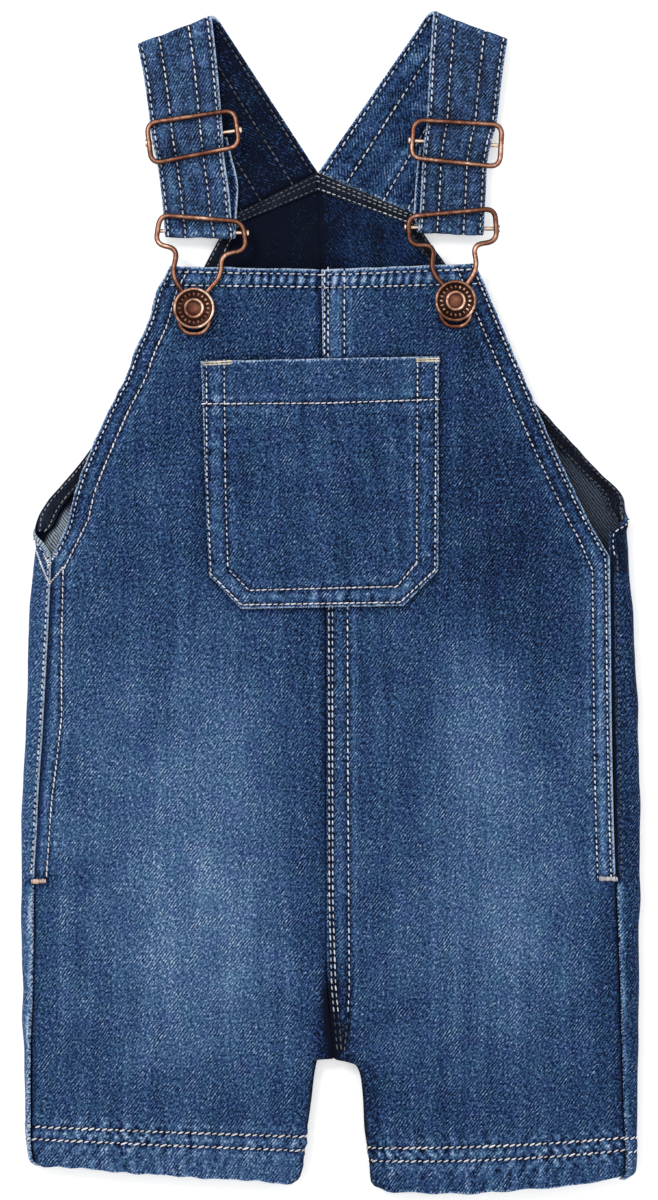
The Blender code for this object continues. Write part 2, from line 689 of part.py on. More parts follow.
def strap(side, name, collection, material):
    """One doubled band from the back neck over the shoulder and through slider and hook."""
    back = strap_part(STRAP_BACK[side])
    front = strap_part(STRAP_FRONT[side])
    returning = strap_part(STRAP_RETURN[side])
    over = strap_turn(back[-1], front[0], away_from(front[0], INSIDE_SHOULDER))
    under = strap_turn(front[-1], returning[0], away_from(front[-1], INSIDE_LOOP))
    grid = []
    for row in [*back, *over, *front, *under, *returning]:
        left = np.array([row.x_left, row.y_left, row.z])
        right = np.array([row.x_right, row.y_right, row.z])
        grid.append([left, (left * 2 + right) / 3, (left + right * 2) / 3, right])
    cloth_wall(name, np.array(grid), 1, STRAP, 0.0, collection, material)


def rounded_loop(corners, radius, steps):
    """Points round a closed outline whose corners are rounded off."""
    points = []
    for before, corner, after in zip(corners[-1:] + corners[:-1], corners, corners[1:] + corners[:1]):
        middle = np.array(corner)
        back, ahead = np.array(before) - middle, np.array(after) - middle
        reach = min(radius, 0.46 * np.linalg.norm(back), 0.46 * np.linalg.norm(ahead))
        start = middle + back / np.linalg.norm(back) * reach
        end = middle + ahead / np.linalg.norm(ahead) * reach
        for step in range(steps + 1):
            t = step / steps
            points.append(start * (1 - t) ** 2 + middle * 2 * t * (1 - t) + end * t * t)
    return points


def wire_loop(name, points, collection, material):
    """A closed loop of round wire, as a mesh."""
    curve = bpy.data.curves.new(name + "_path", "CURVE")
    curve.dimensions = "3D"
    curve.bevel_depth = WIRE_RADIUS * MM
    curve.bevel_resolution = 2
    spline = curve.splines.new("POLY")
    spline.points.add(len(points) - 1)
    spline.use_cyclic_u = True
    for place, point in zip(spline.points, points):
        place.co = (*(point * MM), 1.0)
    guide = link_mesh(name + "_path", curve, collection)
    bpy.context.view_layer.update()
    graph = bpy.context.evaluated_depsgraph_get()
    mesh = bpy.data.meshes.new_from_object(guide.evaluated_get(graph))
    mesh.name = name
    bpy.data.objects.remove(guide)
    mesh.shade_smooth()
    return link_mesh(name, mesh, collection, material)


def turned_mesh(name, profile, steps):
    """The open outline that a Screw modifier turns round Z, and the modifier's setting."""
    mesh = bpy.data.meshes.new(name)
    points = [(radius * MM, 0, height * MM) for radius, height in profile]
    mesh.from_pydata(points, [(i, i + 1) for i in range(len(points) - 1)], [])

    def add_screw(thing):
        screw = thing.modifiers.new("Turn", "SCREW")
        screw.steps = steps
        screw.render_steps = steps
        screw.use_merge_vertices = True
        screw.merge_threshold = 0.00001
        screw.use_smooth_shade = True

    return mesh, add_screw


def collared_bar(name, ends, cutters):
    """A round bar with a collar at each end, as a helper that is joined to its frame."""
    start, end = np.array(ends[0]), np.array(ends[1])
    length = np.linalg.norm(end - start)
    profile = (
        (0.0, length),
        (COLLAR_RADIUS, length),
        (COLLAR_RADIUS, length - COLLAR_LENGTH),
        (BAR_RADIUS, length - COLLAR_LENGTH),
        (BAR_RADIUS, COLLAR_LENGTH),
        (COLLAR_RADIUS, COLLAR_LENGTH),
        (COLLAR_RADIUS, 0.0),
        (0.0, 0.0),
    )
    mesh, add_screw = turned_mesh(name, profile, BAR_STEPS)
    bar = link_mesh(name, mesh, cutters)
    add_screw(bar)
    bar.location = start * MM
    run = end - start
    bar.rotation_euler = (0, math.acos(run[2] / length), math.atan2(run[1], run[0]))
    bar.hide_render = True
    bar.display_type = "WIRE"
    return bar


def wire_frame(name, corners, radius, bar_ends, collection, cutters, material):
    """A bent wire frame with its collared bar joined on."""
    loop = rounded_loop(list(corners), radius, BEND_STEPS)
    frame = wire_loop(name, loop, collection, material)
    union = frame.modifiers.new("Bar", "BOOLEAN")
    union.operation = "UNION"
    union.solver = "EXACT"
    union.object = collared_bar(name + "_bar", bar_ends, cutters)
    return frame


def button(side, name, collection, material):
    """A dungaree button: a ringed head on a shank that the hook's slot closes round."""
    mesh, add_screw = turned_mesh(name, BUTTON_PROFILE, ROUND_STEPS)
    head = link_mesh(name, mesh, collection, material)
    add_screw(head)
    x, y = BUTTON_CENTRES[side]
    foot = float(front_height(np.array(x), np.array(y))) + CLOTH / 2 + GAP
    head.location = (x * MM, y * MM, foot * MM)
    return head


def build():
    for thing in list(bpy.data.objects):
        bpy.data.objects.remove(thing)
    garment = bpy.data.collections.new("kids_dungarees")
    cutters = bpy.data.collections.new("cutters")
    bpy.context.scene.collection.children.link(garment)
    bpy.context.scene.collection.children.link(cutters)
    for side, word in ((-1, "left"), (1, "right")):
        denim = principled(f"panel_denim_{word}", DENIM, 0.85, 0.0)
        back_panel(side, f"back_panel_{word}", garment, denim)
        front_panel(side, f"front_panel_{word}", garment, denim.copy())
        strap(side, f"strap_{word}", garment, denim.copy())
        facing_denim = principled(f"facing_denim_{word}", DENIM_DARK, 0.9, 0.0)
        armhole_facing(side, f"armhole_facing_{word}", garment, facing_denim)
        neck_facing(side, f"neck_facing_{word}", garment, facing_denim.copy())
        copper = principled(f"copper_{word}", COPPER, 0.35, 1.0)
        slider = (f"slider_{word}", SLIDER_CORNERS[side], SLIDER_BEND, SLIDER_BAR[side])
        wire_frame(*slider, garment, cutters, copper)
        hook = (f"hook_{word}", HOOK_CORNERS[side], HOOK_BEND, HOOK_BAR[side])
        wire_frame(*hook, garment, cutters, copper.copy())
        button(side, f"button_{word}", garment, copper.copy())
    patch_pocket("pocket", garment, principled("pocket_denim", DENIM, 0.85, 0.0))


build()
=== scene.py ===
import json
import math
from collections import namedtuple

import bmesh
import bpy
import numpy as np
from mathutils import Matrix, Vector
from mathutils.bvhtree import BVHTree

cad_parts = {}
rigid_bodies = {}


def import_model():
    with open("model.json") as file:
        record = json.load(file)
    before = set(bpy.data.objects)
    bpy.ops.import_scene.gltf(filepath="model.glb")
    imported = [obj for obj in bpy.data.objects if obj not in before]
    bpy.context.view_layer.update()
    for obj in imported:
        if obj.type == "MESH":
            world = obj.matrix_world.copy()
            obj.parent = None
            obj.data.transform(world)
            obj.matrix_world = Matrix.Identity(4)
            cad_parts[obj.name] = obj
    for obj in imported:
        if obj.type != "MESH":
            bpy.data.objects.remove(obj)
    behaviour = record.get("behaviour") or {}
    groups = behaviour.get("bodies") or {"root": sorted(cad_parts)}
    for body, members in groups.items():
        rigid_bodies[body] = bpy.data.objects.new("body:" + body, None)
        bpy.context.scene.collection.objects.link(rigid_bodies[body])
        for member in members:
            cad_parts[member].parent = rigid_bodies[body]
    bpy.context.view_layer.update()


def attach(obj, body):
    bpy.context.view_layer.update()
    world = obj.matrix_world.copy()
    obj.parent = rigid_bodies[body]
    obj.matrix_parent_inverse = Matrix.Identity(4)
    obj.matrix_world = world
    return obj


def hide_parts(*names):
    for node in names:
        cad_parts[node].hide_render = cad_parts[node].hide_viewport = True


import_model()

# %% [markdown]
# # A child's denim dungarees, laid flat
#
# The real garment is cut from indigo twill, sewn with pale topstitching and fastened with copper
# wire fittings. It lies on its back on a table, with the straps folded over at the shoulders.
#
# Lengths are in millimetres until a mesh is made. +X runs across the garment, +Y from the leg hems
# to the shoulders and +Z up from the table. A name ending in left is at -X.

MM = 0.001
# Once round, in radians.
TURN = 6.283
WORDS = {-1: "left", 1: "right"}


def two_sides(kind, left, right):
    """A table for each side, whose rows of numbers get the names of their kind."""
    return {-1: [kind(*row) for row in left], 1: [kind(*row) for row in right]}


def put(name, data):
    """A new object in the scene."""
    piece = bpy.data.objects.new(name, data)
    bpy.context.scene.collection.objects.link(piece)
    return piece


# %% [markdown]
# ## Sizes of the cloth
#
# A maker would cut each panel flat. Here each panel is worked out where it lies, row by row. A row
# is one line of cloth across the panel, and it knows how far it wraps forward round the side fold
# and how far it turns in at the inseam. These sizes are the same as in the solid model, so that
# each shell lies exactly on its solid.

# %% Sizes of the cloth
CLOTH = 1.2
FACING = 1.0
POCKET_CLOTH = 1.0
STRAP = 1.5
GAP = 0.3
SIDE_RADIUS = 3.9
INSEAM_RADIUS = 3.9
INSEAM_HEIGHT = 4.8
FRONT_HEIGHT = CLOTH / 2 + 2 * SIDE_RADIUS
BODY_CROWN = 1.2
BODY_HALF_WIDTH = 124.0
LEG_CROWN = 1.0
LEG_CENTRE = 71.0
LEG_HALF_WIDTH = 58.0
BIB_SINK = 1.2
ARMHOLE_DROOP = 0.9
ARMHOLE_DROOP_WIDTH = 14.0
SIDE_SEAM_DROP_WIDTH = 4.0
SEAM_RIDGE = 0.7
SEAM_WIDTH = 10.0
SEAM_STEP_WIDTH = 2.5
POCKET_BRIDGE_WIDTH = 24.0
LEG_TO_BODY = (-200.0, -150.0)
BODY_TO_BIB = (60.0, 140.0)
DROOP_STARTS = (18.0, 48.0)
DROOP_STOPS = (92.0, 118.0)
HALF_WRAP = math.pi * SIDE_RADIUS
FOLD_STEPS = 14

# The wire fittings and the buttons.
WIRE_RADIUS = 1.1
BAR_RADIUS = 0.85
COLLAR_RADIUS = 1.65
COLLAR_LENGTH = 2.2
BUTTON_RADIUS = 8.7
SHANK_RADIUS = 1.7

# The body of each panel, a row for each level from the leg hem to the armhole: the inner edge, the
# side fold, the side seam, how many degrees the inseam turns in, and the bow of the row. What a
# row leaves out at its end is 0.
Body = namedtuple("Body", "y_in x_in y_out x_side x_seam turn bow", defaults=(0, 0))
BODY = two_sides(Body, (
    (-244.6, -17.4, -237.1, -123.8, -121.8, 90), (-241.9, -13.5, -235.0, -126.8, -124.8, 90),
    (-233.3, -11.9, -228.0, -127.8, -125.9, 90), (-221.0, -10.0, -217.0, -128.3, -125.9, 90),
    (-208.0, -8.3, -204.0, -128.8, -125.9, 90), (-197.5, -7.0, -192.5, -129.1, -125.9, 90),
    (-192.4, -5.6, -183.0, -129.4, -125.8, 90), (-192.1, -2.2, -174.0, -129.6, -125.4, 84),
    (-191.8, 1.2, -166.0, -129.6, -124.9, 70), (-182.0, 0.4, -157.0, -129.8, -124.8, 44),
    (-170.0, -0.9, -147.0, -130.0, -124.6, 18), (-155.0, -1.8, -137.0, -130.2, -124.5),
    (-130.0, -2.0, -118.6, -130.3, -124.4), (-95.0, -2.0, -90.9, -130.2, -123.0),
    (-50.0, -2.0, -48.5, -128.0, -120.4), (-5.0, -2.0, -2.3, -126.8, -118.0),
    (8.0, -2.2, 5.7, -126.0, -117.6), (20.0, -2.4, 18.7, -124.7, -117.2),
), (
    (-247.6, 24.5, -242.1, 124.6, 121.0, 90, 3.0), (-244.0, 17.4, -239.6, 128.0, 123.6, 90, 2.6),
    (-234.6, 16.6, -230.0, 128.9, 123.6, 90, 1.6), (-221.1, 14.6, -217.0, 129.1, 123.0, 90, 0.6),
    (-208.0, 13.8, -204.0, 129.3, 122.6, 90), (-199.5, 12.6, -193.0, 129.4, 122.3, 90),
    (-194.6, 10.2, -183.0, 129.5, 121.9, 90), (-193.2, 6.0, -174.0, 129.6, 121.6, 84),
    (-191.8, 1.2, -166.0, 129.7, 121.4, 70), (-182.0, 0.4, -157.0, 129.8, 121.2, 44),
    (-170.0, -0.9, -147.0, 129.6, 120.8, 18), (-155.0, -1.8, -137.0, 129.7, 120.5),
    (-130.0, -2.0, -118.6, 130.2, 119.8), (-95.0, -2.0, -90.9, 130.2, 118.9),
    (-50.0, -2.0, -48.5, 129.3, 118.1), (-5.0, -2.0, -7.3, 127.2, 117.7),
    (8.0, -2.2, 7.0, 126.2, 117.5), (20.0, -2.4, 17.8, 125.3, 117.4),
))

# The back above the armhole's lowest point: the centre seam, the armhole's edge and the length of
# cloth that still wraps forward there. The last row is the edge that the strap is sewn to.
BackTop = namedtuple("BackTop", "y_in x_in y_out x_out wrap", defaults=(0,))
BACK_TOP = two_sides(BackTop, (
    (24.0, -2.4, 24.2, -123.8, 11.4), (30.0, -2.5, 29.5, -125.2, 6.5),
    (34.0, -2.6, 33.0, -124.6, 3.0), (40.0, -2.7, 39.5, -121.4, 0.4), (56.0, -2.9, 55.2, -108.3),
    (67.0, -3.0, 65.7, -100.3), (88.0, -3.3, 85.0, -86.0), (110.0, -3.6, 105.0, -73.5),
    (134.0, -4.0, 125.0, -62.5), (152.0, -4.6, 141.3, -53.4), (165.0, -5.1, 151.0, -48.3),
    (173.0, -5.5, 157.2, -44.2), (181.2, -5.8, 164.0, -39.6),
), (
    (24.0, -2.4, 23.5, 125.1, 16.1), (30.0, -2.5, 28.3, 124.7, 15.5),
    (34.0, -2.6, 32.5, 125.0, 10.5), (40.0, -2.7, 37.5, 124.6, 5.0), (45.0, -2.8, 43.0, 123.7, 0.8),
    (56.0, -2.9, 54.8, 113.1), (67.0, -3.0, 67.8, 101.0), (88.0, -3.3, 84.6, 85.7),
    (110.0, -3.6, 103.0, 71.5), (134.0, -4.0, 124.0, 60.0), (152.0, -4.6, 142.2, 48.6),
    (165.0, -5.1, 151.0, 42.0), (173.0, -5.5, 157.2, 38.2), (181.2, -5.8, 163.6, 35.0),
))

# The row of BACK_TOP at which the armhole's facing starts.
FACING_FOOT_ROW = {-1: 1, 1: 2}

# The bib above the armhole's lowest point: the centre seam and the armhole's edge.
Bib = namedtuple("Bib", "y_in x_in y_out x_out")
BIB = two_sides(Bib, (
    (24.0, -2.4, 23.5, -114.8), (34.0, -2.6, 32.1, -110.9), (46.0, -2.8, 44.7, -108.0),
    (60.0, -3.0, 59.0, -102.6), (82.0, -3.2, 80.0, -93.4), (96.5, -3.4, 96.0, -85.4),
    (103.0, -3.5, 102.7, -83.3), (117.0, -3.7, 117.0, -77.0), (129.5, -3.9, 130.2, -73.3),
    (139.4, -4.1, 140.9, -67.5),
), (
    (24.0, -2.4, 23.0, 114.6), (34.0, -2.6, 31.7, 109.6), (46.0, -2.8, 47.1, 102.0),
    (67.0, -3.1, 67.8, 92.3), (95.0, -3.4, 94.1, 81.2), (139.4, -4.1, 142.0, 60.9),
))

# Soft folds of the front: the line that each follows, how wide it is, and its height or depth.
Fold = namedtuple("Fold", "x0 y0 x1 y1 width height")
FOLDS = [Fold(*row) for row in (
    (48, -20, 62, -128, 9, -0.9), (20, -12, 25, -150, 7, 0.7), (-20, -18, -27, -140, 8, 0.6),
    (-62, -30, -52, -152, 10, -0.8), (-10, -150, -42, -208, 6, -1.0), (14, -152, 46, -212, 6, -1.0),
    (96, -10, 101, -96, 8, 0.7), (-100, -22, -104, -104, 8, 0.7), (-94, 12, -76, 76, 7, 0.5),
    (88, 10, 70, 76, 7, 0.5), (80, -188, 85, -240, 9, 0.7), (-70, -186, -73, -236, 9, 0.7),
)]

# The patch pocket, from its mouth down: its two side edges.
Pocket = namedtuple("Pocket", "y_left x_left y_right x_right")
POCKET = [Pocket(*row) for row in (
    (100.8, -54.6, 102.8, 45.5), (83.8, -53.7, 84.6, 45.0), (55.2, -52.8, 57.3, 45.3),
    (30.0, -51.8, 32.0, 45.2), (10.7, -50.8, 12.8, 45.0), (-3.1, -37.6, -1.8, 30.5),
)]

# Each strap, from the back neck over the shoulder fold and round the hook's bar to the slider's
# bar: its two edges and the height of its middle layer. A turn follows each part but the last.
Strap = namedtuple("Strap", "x_left y_left x_right y_right z")
STRAP_BACK = two_sides(Strap, (
    (-39.6, 164.35, -5.9, 181.6, 0.75), (-78.5, 230.8, -46.7, 244.3, 0.75),
), (
    (-4.9, 181.5, 34.8, 164.1, 0.75), (39.8, 246.1, 72.9, 234.0, 0.75),
))
STRAP_FRONT = two_sides(Strap, (
    (-81.0, 232.8, -49.9, 244.1, 5.35), (-78.4, 219.0, -47.8, 225.3, 4.6),
    (-76.2, 202.6, -46.1, 205.8, 3.6), (-74.9, 193.3, -45.4, 197.3, 7.5),
    (-73.0, 184.7, -45.1, 190.0, 4.5), (-71.1, 169.5, -42.7, 172.2, 4.9),
    (-70.3, 161.6, -41.5, 159.6, 6.3), (-69.7, 155.7, -40.0, 155.2, 9.05),
), (
    (43.0, 246.0, 74.0, 234.1, 5.35), (41.4, 222.0, 71.7, 217.5, 4.6),
    (40.5, 202.6, 69.8, 201.0, 3.6), (39.3, 193.7, 67.2, 192.0, 7.5),
    (38.6, 186.2, 65.8, 183.6, 4.5), (37.9, 171.5, 65.3, 172.5, 4.9),
    (37.3, 162.2, 64.8, 164.1, 6.3), (36.8, 157.6, 64.4, 156.5, 9.05),
))
STRAP_RETURN = two_sides(Strap, (
    (-69.7, 155.7, -39.9, 155.2, 4.95), (-68.6, 162.0, -39.6, 163.0, 3.9),
    (-67.6, 172.0, -39.0, 174.0, 2.9), (-71.0, 184.9, -42.3, 189.8, 2.6),
    (-72.6, 191.6, -43.6, 195.6, 3.6),
), (
    (36.2, 157.6, 64.4, 156.5, 4.95), (35.0, 164.0, 63.6, 165.0, 3.9),
    (35.6, 174.0, 63.9, 174.5, 2.9), (36.6, 186.0, 64.4, 184.0, 2.6),
    (37.4, 191.6, 65.6, 190.2, 3.6),
))

# Points in plan that the shoulder folds and the loops round the hooks bulge away from.
INSIDE_SHOULDER = (0.0, 180.0)
INSIDE_LOOP = (0.0, 200.0)

# Wire frames: corners in order, and the two ends of each bar.
SLIDER_CORNERS = {
    -1: ((-77.4, 201.1, 6.3), (-40.5, 206.6, 6.3), (-38.4, 191.3, 7.1), (-75.3, 184.0, 7.1)),
    1: ((35.1, 202.5, 6.3), (72.1, 200.4, 6.3), (71.0, 182.6, 7.1), (33.7, 186.5, 7.1)),
}
SLIDER_BAR = {
    -1: ((-78.1, 192.6, 5.7), (-37.4, 198.3, 5.7)),
    1: ((32.6, 193.9, 5.7), (72.9, 191.7, 5.7)),
}
HOOK_CORNERS = {
    -1: (
        (-71.6, 162.3, 9.0), (-37.0, 159.4, 9.0), (-35.4, 147.6, 9.0), (-45.9, 145.4, 10.0),
        (-46.0, 136.4, 10.3), (-54.1, 127.6, 10.3), (-54.1, 124.0, 10.3), (-51.4, 121.2, 10.3),
        (-51.0, 116.0, 10.3), (-54.2, 112.4, 10.3), (-60.4, 112.4, 10.3), (-63.6, 116.0, 10.3),
        (-63.2, 121.2, 10.3), (-60.5, 124.0, 10.3), (-60.5, 127.6, 10.3), (-66.6, 136.6, 10.3),
        (-64.2, 148.0, 9.8), (-73.6, 150.0, 9.0),
    ),
    1: (
        (32.4, 161.6, 9.0), (68.9, 164.9, 9.0), (69.8, 151.2, 9.0), (59.6, 149.6, 9.8),
        (61.6, 140.0, 10.3), (55.5, 130.7, 10.3), (55.5, 127.1, 10.3), (58.2, 124.3, 10.3),
        (58.6, 119.1, 10.3), (55.4, 115.5, 10.3), (49.2, 115.5, 10.3), (46.0, 119.1, 10.3),
        (46.4, 124.3, 10.3), (49.1, 127.1, 10.3), (49.1, 130.7, 10.3), (42.0, 138.6, 10.3),
        (43.4, 149.4, 9.8), (33.0, 149.6, 9.0),
    ),
}
HOOK_BAR = {
    -1: ((-73.9, 155.8, 7.0), (-34.3, 154.8, 7.0)),
    1: ((30.9, 157.3, 7.0), (71.1, 156.6, 7.0)),
}
BUTTON_CENTRES = {-1: (-57.3, 122.8), 1: (52.3, 125.9)}
print("Rows of the body:", len(BODY[1]), "and of the back above it:", len(BACK_TOP[1]))

# %% [markdown]
# ## How the cloth lies
#
# The same few rules place every panel. A row's points are found by their length of cloth from the
# inner edge: round the inseam, along the flat, and round the side fold. The front lies over the
# back on a low crown, with soft folds and a lapped seam down the middle.

# %% How the cloth lies
def smooth_step(value, low, high):
    """From 0 at low to 1 at high, level at both ends."""
    part = np.clip((np.asarray(value, float) - low) / (high - low), 0.0, 1.0)
    return part * part * (3 - 2 * part)


def bell(distance, width, power=2):
    """From 1 at no distance to nearly 0 at two widths. A higher power has steeper sides."""
    return np.exp(-((distance / width) ** power))


def monotone(knots, values, wanted):
    """A smooth curve through the values that never overshoots them."""
    widths = np.diff(knots)
    slopes = np.diff(values) / widths
    tangents = np.zeros(len(values))
    tangents[0], tangents[-1] = slopes[0], slopes[-1]
    before, after = slopes[:-1], slopes[1:]
    agree = before * after > 0
    mean = 2 * before * after / np.where(agree, before + after, 1.0)
    tangents[1:-1] = np.where(agree, mean, 0.0)
    place = np.clip(np.searchsorted(knots, wanted, side="right") - 1, 0, len(widths) - 1)
    width = widths[place]
    part = (wanted - knots[place]) / width
    start, end = values[place], values[place + 1]
    ease = part * part * (3 - 2 * part)
    leaving = part * (1 - part) ** 2 * width * tangents[place]
    arriving = part * part * (part - 1) * width * tangents[place + 1]
    return start + (end - start) * ease + leaving + arriving


def distances_along(xs, ys):
    return np.concatenate([[0.0], np.cumsum(np.hypot(np.diff(xs), np.diff(ys)))])


Row = namedtuple("Row", "y_in x_in y_out x_out turn wrap bow")


def wrap_to(reach):
    """The cloth that wraps forward when its middle layer reaches this far back over the front."""
    if reach >= SIDE_RADIUS:
        return HALF_WRAP + reach - SIDE_RADIUS
    return SIDE_RADIUS * (math.pi - math.asin(1 - reach / SIDE_RADIUS))


def side_wrap(body):
    """The wrap that brings the back's edge to the side seam, less half of the gap there."""
    return wrap_to(abs(body.x_side - body.x_seam) - CLOTH / 2 - GAP / 2)


def back_table(side):
    body = [Row(b.y_in, b.x_in, b.y_out, b.x_side, b.turn, side_wrap(b), b.bow) for b in BODY[side]]
    top = [Row(t.y_in, t.x_in, t.y_out, t.x_out, 0.0, t.wrap, 0.0) for t in BACK_TOP[side]]
    return body + top


def front_table(side):
    """The front's rows. Its edge is drawn in further where the back's edge leans against it."""
    body = []
    for b in BODY[side]:
        wrap = side_wrap(b)
        lean = math.sin(math.pi - min(wrap / SIDE_RADIUS, math.pi))
        edge = b.x_seam - side * (GAP / 2 + CLOTH / 2 * lean)
        body.append(Row(b.y_in, b.x_in, b.y_out, edge, b.turn, wrap, b.bow))
    top = [Row(t.y_in, t.x_in, t.y_out, t.x_out, 0.0, HALF_WRAP, 0.0) for t in BIB[side]]
    return body + top


def row_distances(table):
    return distances_along([row.x_out for row in table], [row.y_out for row in table])


def fold_height(x, y):
    """The folds' height at points of the front."""
    total = np.zeros(np.shape(x))
    for fold in FOLDS:
        run = np.array([fold.x1 - fold.x0, fold.y1 - fold.y0], float)
        part = ((x - fold.x0) * run[0] + (y - fold.y0) * run[1]) / (run @ run)
        clamped = np.clip(part, 0.0, 1.0)
        off = np.hypot(x - fold.x0 - clamped * run[0], y - fold.y0 - clamped * run[1])
        swell = 0.35 + 0.65 * np.sin(math.pi * clamped)
        total += fold.height * swell * bell(off, fold.width)
    return total


def front_height(x, y):
    """The height of the front's middle layer, without the ridge of the centre seam."""
    body = BODY_CROWN * np.clip(1 - (x / BODY_HALF_WIDTH) ** 2, 0, 1)
    leg = LEG_CROWN * np.clip(1 - ((np.abs(x) - LEG_CENTRE) / LEG_HALF_WIDTH) ** 2, 0, 1)
    in_body = smooth_step(y, *LEG_TO_BODY)
    sink = BIB_SINK * smooth_step(y, *BODY_TO_BIB)
    return FRONT_HEIGHT + body * in_body + leg * (1 - in_body) - sink + fold_height(x, y)


def row_spans(row, wraps):
    """A row's inner inset, flat run and forward wrap, with its turn at each end in radians."""
    turn = math.radians(row.turn)
    wrap = row.wrap if wraps else 0.0
    side_turn = min(wrap / SIDE_RADIUS, math.pi / 2)
    inset = GAP / 2 + CLOTH / 2 * math.sin(turn)
    width = math.hypot(row.x_out - row.x_in, row.y_out - row.y_in)
    turned = INSEAM_RADIUS * math.sin(turn) + (SIDE_RADIUS + CLOTH / 2) * math.sin(side_turn)
    return inset, width - inset - turned, wrap, turn


def row_shape(row, lengths, wraps):
    """Plan points, inner turn and side turn at these lengths of cloth from a row's inner edge."""
    inset, flat, _, turn = row_spans(row, wraps)
    inner = np.clip(turn - lengths / INSEAM_RADIUS, 0, turn)
    past_inner = np.maximum(lengths - INSEAM_RADIUS * turn, 0)
    past_flat = np.maximum(past_inner - flat, 0)
    outer = np.clip(past_flat / SIDE_RADIUS, 0, math.pi)
    reach = inset + INSEAM_RADIUS * (math.sin(turn) - np.sin(inner)) + np.minimum(past_inner, flat)
    reach = reach + SIDE_RADIUS * np.sin(outer) - np.maximum(past_flat - HALF_WRAP, 0)
    plan = np.array([row.x_out - row.x_in, row.y_out - row.y_in])
    part = reach / np.hypot(*plan)
    x = row.x_in + plan[0] * part
    y = row.y_in + plan[1] * part - row.bow * 4 * part * (1 - part)
    return x, y, inner, outer


def row_length(row, wraps):
    """The length of cloth from a row's inner edge to its outer edge."""
    _, flat, wrap, turn = row_spans(row, wraps)
    return INSEAM_RADIUS * turn + flat + wrap


def back_row(row, lengths):
    x, y, inner, outer = row_shape(row, lengths, True)
    rise = INSEAM_RADIUS * (1 - np.cos(inner)) + SIDE_RADIUS * (1 - np.cos(outer))
    return np.column_stack([x, y, CLOTH / 2 + rise])


def front_row(side, row, lengths):
    x, y, inner, _ = row_shape(row, lengths, False)
    height = front_height(x, y)
    to_edge = row_length(row, False) - lengths
    droop = smooth_step(row.y_out, *DROOP_STARTS) * (1 - smooth_step(row.y_out, *DROOP_STOPS))
    height -= ARMHOLE_DROOP * droop * np.clip(1 - to_edge / ARMHOLE_DROOP_WIDTH, 0, 1) ** 2
    side_end = CLOTH / 2 + SIDE_RADIUS * (1 - math.cos(min(row.wrap / SIDE_RADIUS, math.pi)))
    height -= (FRONT_HEIGHT - side_end) * bell(to_edge, SIDE_SEAM_DROP_WIDTH)
    if side > 0:
        ridge = 1 - smooth_step(lengths, SEAM_WIDTH, SEAM_WIDTH + SEAM_STEP_WIDTH)
        height += SEAM_RIDGE * ridge * (1 - row.turn / 90)
    height -= (height - INSEAM_HEIGHT) * (1 - np.cos(inner))
    return np.column_stack([x, y, height])


def grid_normals(grid, side):
    across = np.gradient(grid, axis=1)
    up = np.gradient(grid, axis=0)
    normals = np.cross(across, up) * side
    return normals / np.linalg.norm(normals, axis=2, keepdims=True)


def pocket_bridge(x):
    """How far the pocket stands up where it passes over the ridge of the centre seam."""
    middle = BODY[1][-1].x_in + SEAM_WIDTH / 2
    return SEAM_RIDGE * np.clip(1.5 - np.abs(x - middle) / POCKET_BRIDGE_WIDTH * 2, 0, 1)


def strap_turn(last, first, outward):
    """The half turn between two layers of a strap, bulging outward in plan."""
    radius = abs(first.z - last.z) / 2
    turned = []
    for step in range(1, FOLD_STEPS):
        angle = math.pi * step / FOLD_STEPS
        bulge = radius * math.sin(angle)
        part = (1 - math.cos(angle)) / 2
        ends = np.array(last) * (1 - part) + np.array(first) * part
        ends += bulge * np.array([outward[0], outward[1], outward[0], outward[1], 0])
        turned.append(Strap(*ends))
    return turned


def away_from(row, inside):
    """The plan direction square to a strap's row, pointing away from a point."""
    run = np.array([row.x_right - row.x_left, row.y_right - row.y_left])
    square = np.array([-run[1], run[0]]) / np.hypot(*run)
    return square if square @ (np.array([row.x_left, row.y_left]) - inside) > 0 else -square


def rounded_loop(corners, radius, steps):
    """Points round a closed outline whose corners are rounded off."""
    points = []
    befores, afters = corners[-1:] + corners[:-1], corners[1:] + corners[:1]
    for before, corner, after in zip(befores, corners, afters):
        middle = np.array(corner)
        back, ahead = np.array(before) - middle, np.array(after) - middle
        reach = min(radius, 0.46 * np.linalg.norm(back), 0.46 * np.linalg.norm(ahead))
        start = middle + back / np.linalg.norm(back) * reach
        end = middle + ahead / np.linalg.norm(ahead) * reach
        for step in range(steps + 1):
            t = step / steps
            points.append(start * (1 - t) ** 2 + middle * 2 * t * (1 - t) + end * t * t)
    return points


print("Length of cloth round one side fold:", round(HALF_WRAP, 1), "mm")

# %% [markdown]
# ## What the cloth carries
#
# Denim on a garment isn't smooth. It is doubled at every hem, pulled into a channel by each row of
# stitches, and puckered beside it, because the thread shrinks less than the cloth in the wash.
# Those raised places then rub pale. So each piece is described twice with the same numbers: once as
# relief, in millimetres, and once as tone, from dark to pale.

# %% What the cloth carries
EDGE_STEPS = (0.0, 0.08, 0.25, 0.55, 0.95, 1.45)
# A wave's phase is drawn from this range.
PHASES = (0, 6.28)
# How far the cloth reaches into the middle seam, all the way up it and more at the crotch.
MIDDLE_REACH = 0.3
CROTCH_REACH = 0.35


def steps_over(length, count):
    """Places along a length, with close ones at both ends for the rounded edge."""
    middle = np.linspace(EDGE_STEPS[-1], length - EDGE_STEPS[-1], count)
    return np.concatenate([EDGE_STEPS[:-1], middle, length - np.array(EDGE_STEPS[-2::-1])])


def rows_at(table, along, wanted):
    """Rows on smooth curves through a table's rows, at these distances along it."""
    columns = [monotone(along, column, wanted) for column in np.array(table, float).T]
    return [type(table[0])(*values) for values in zip(*columns)]


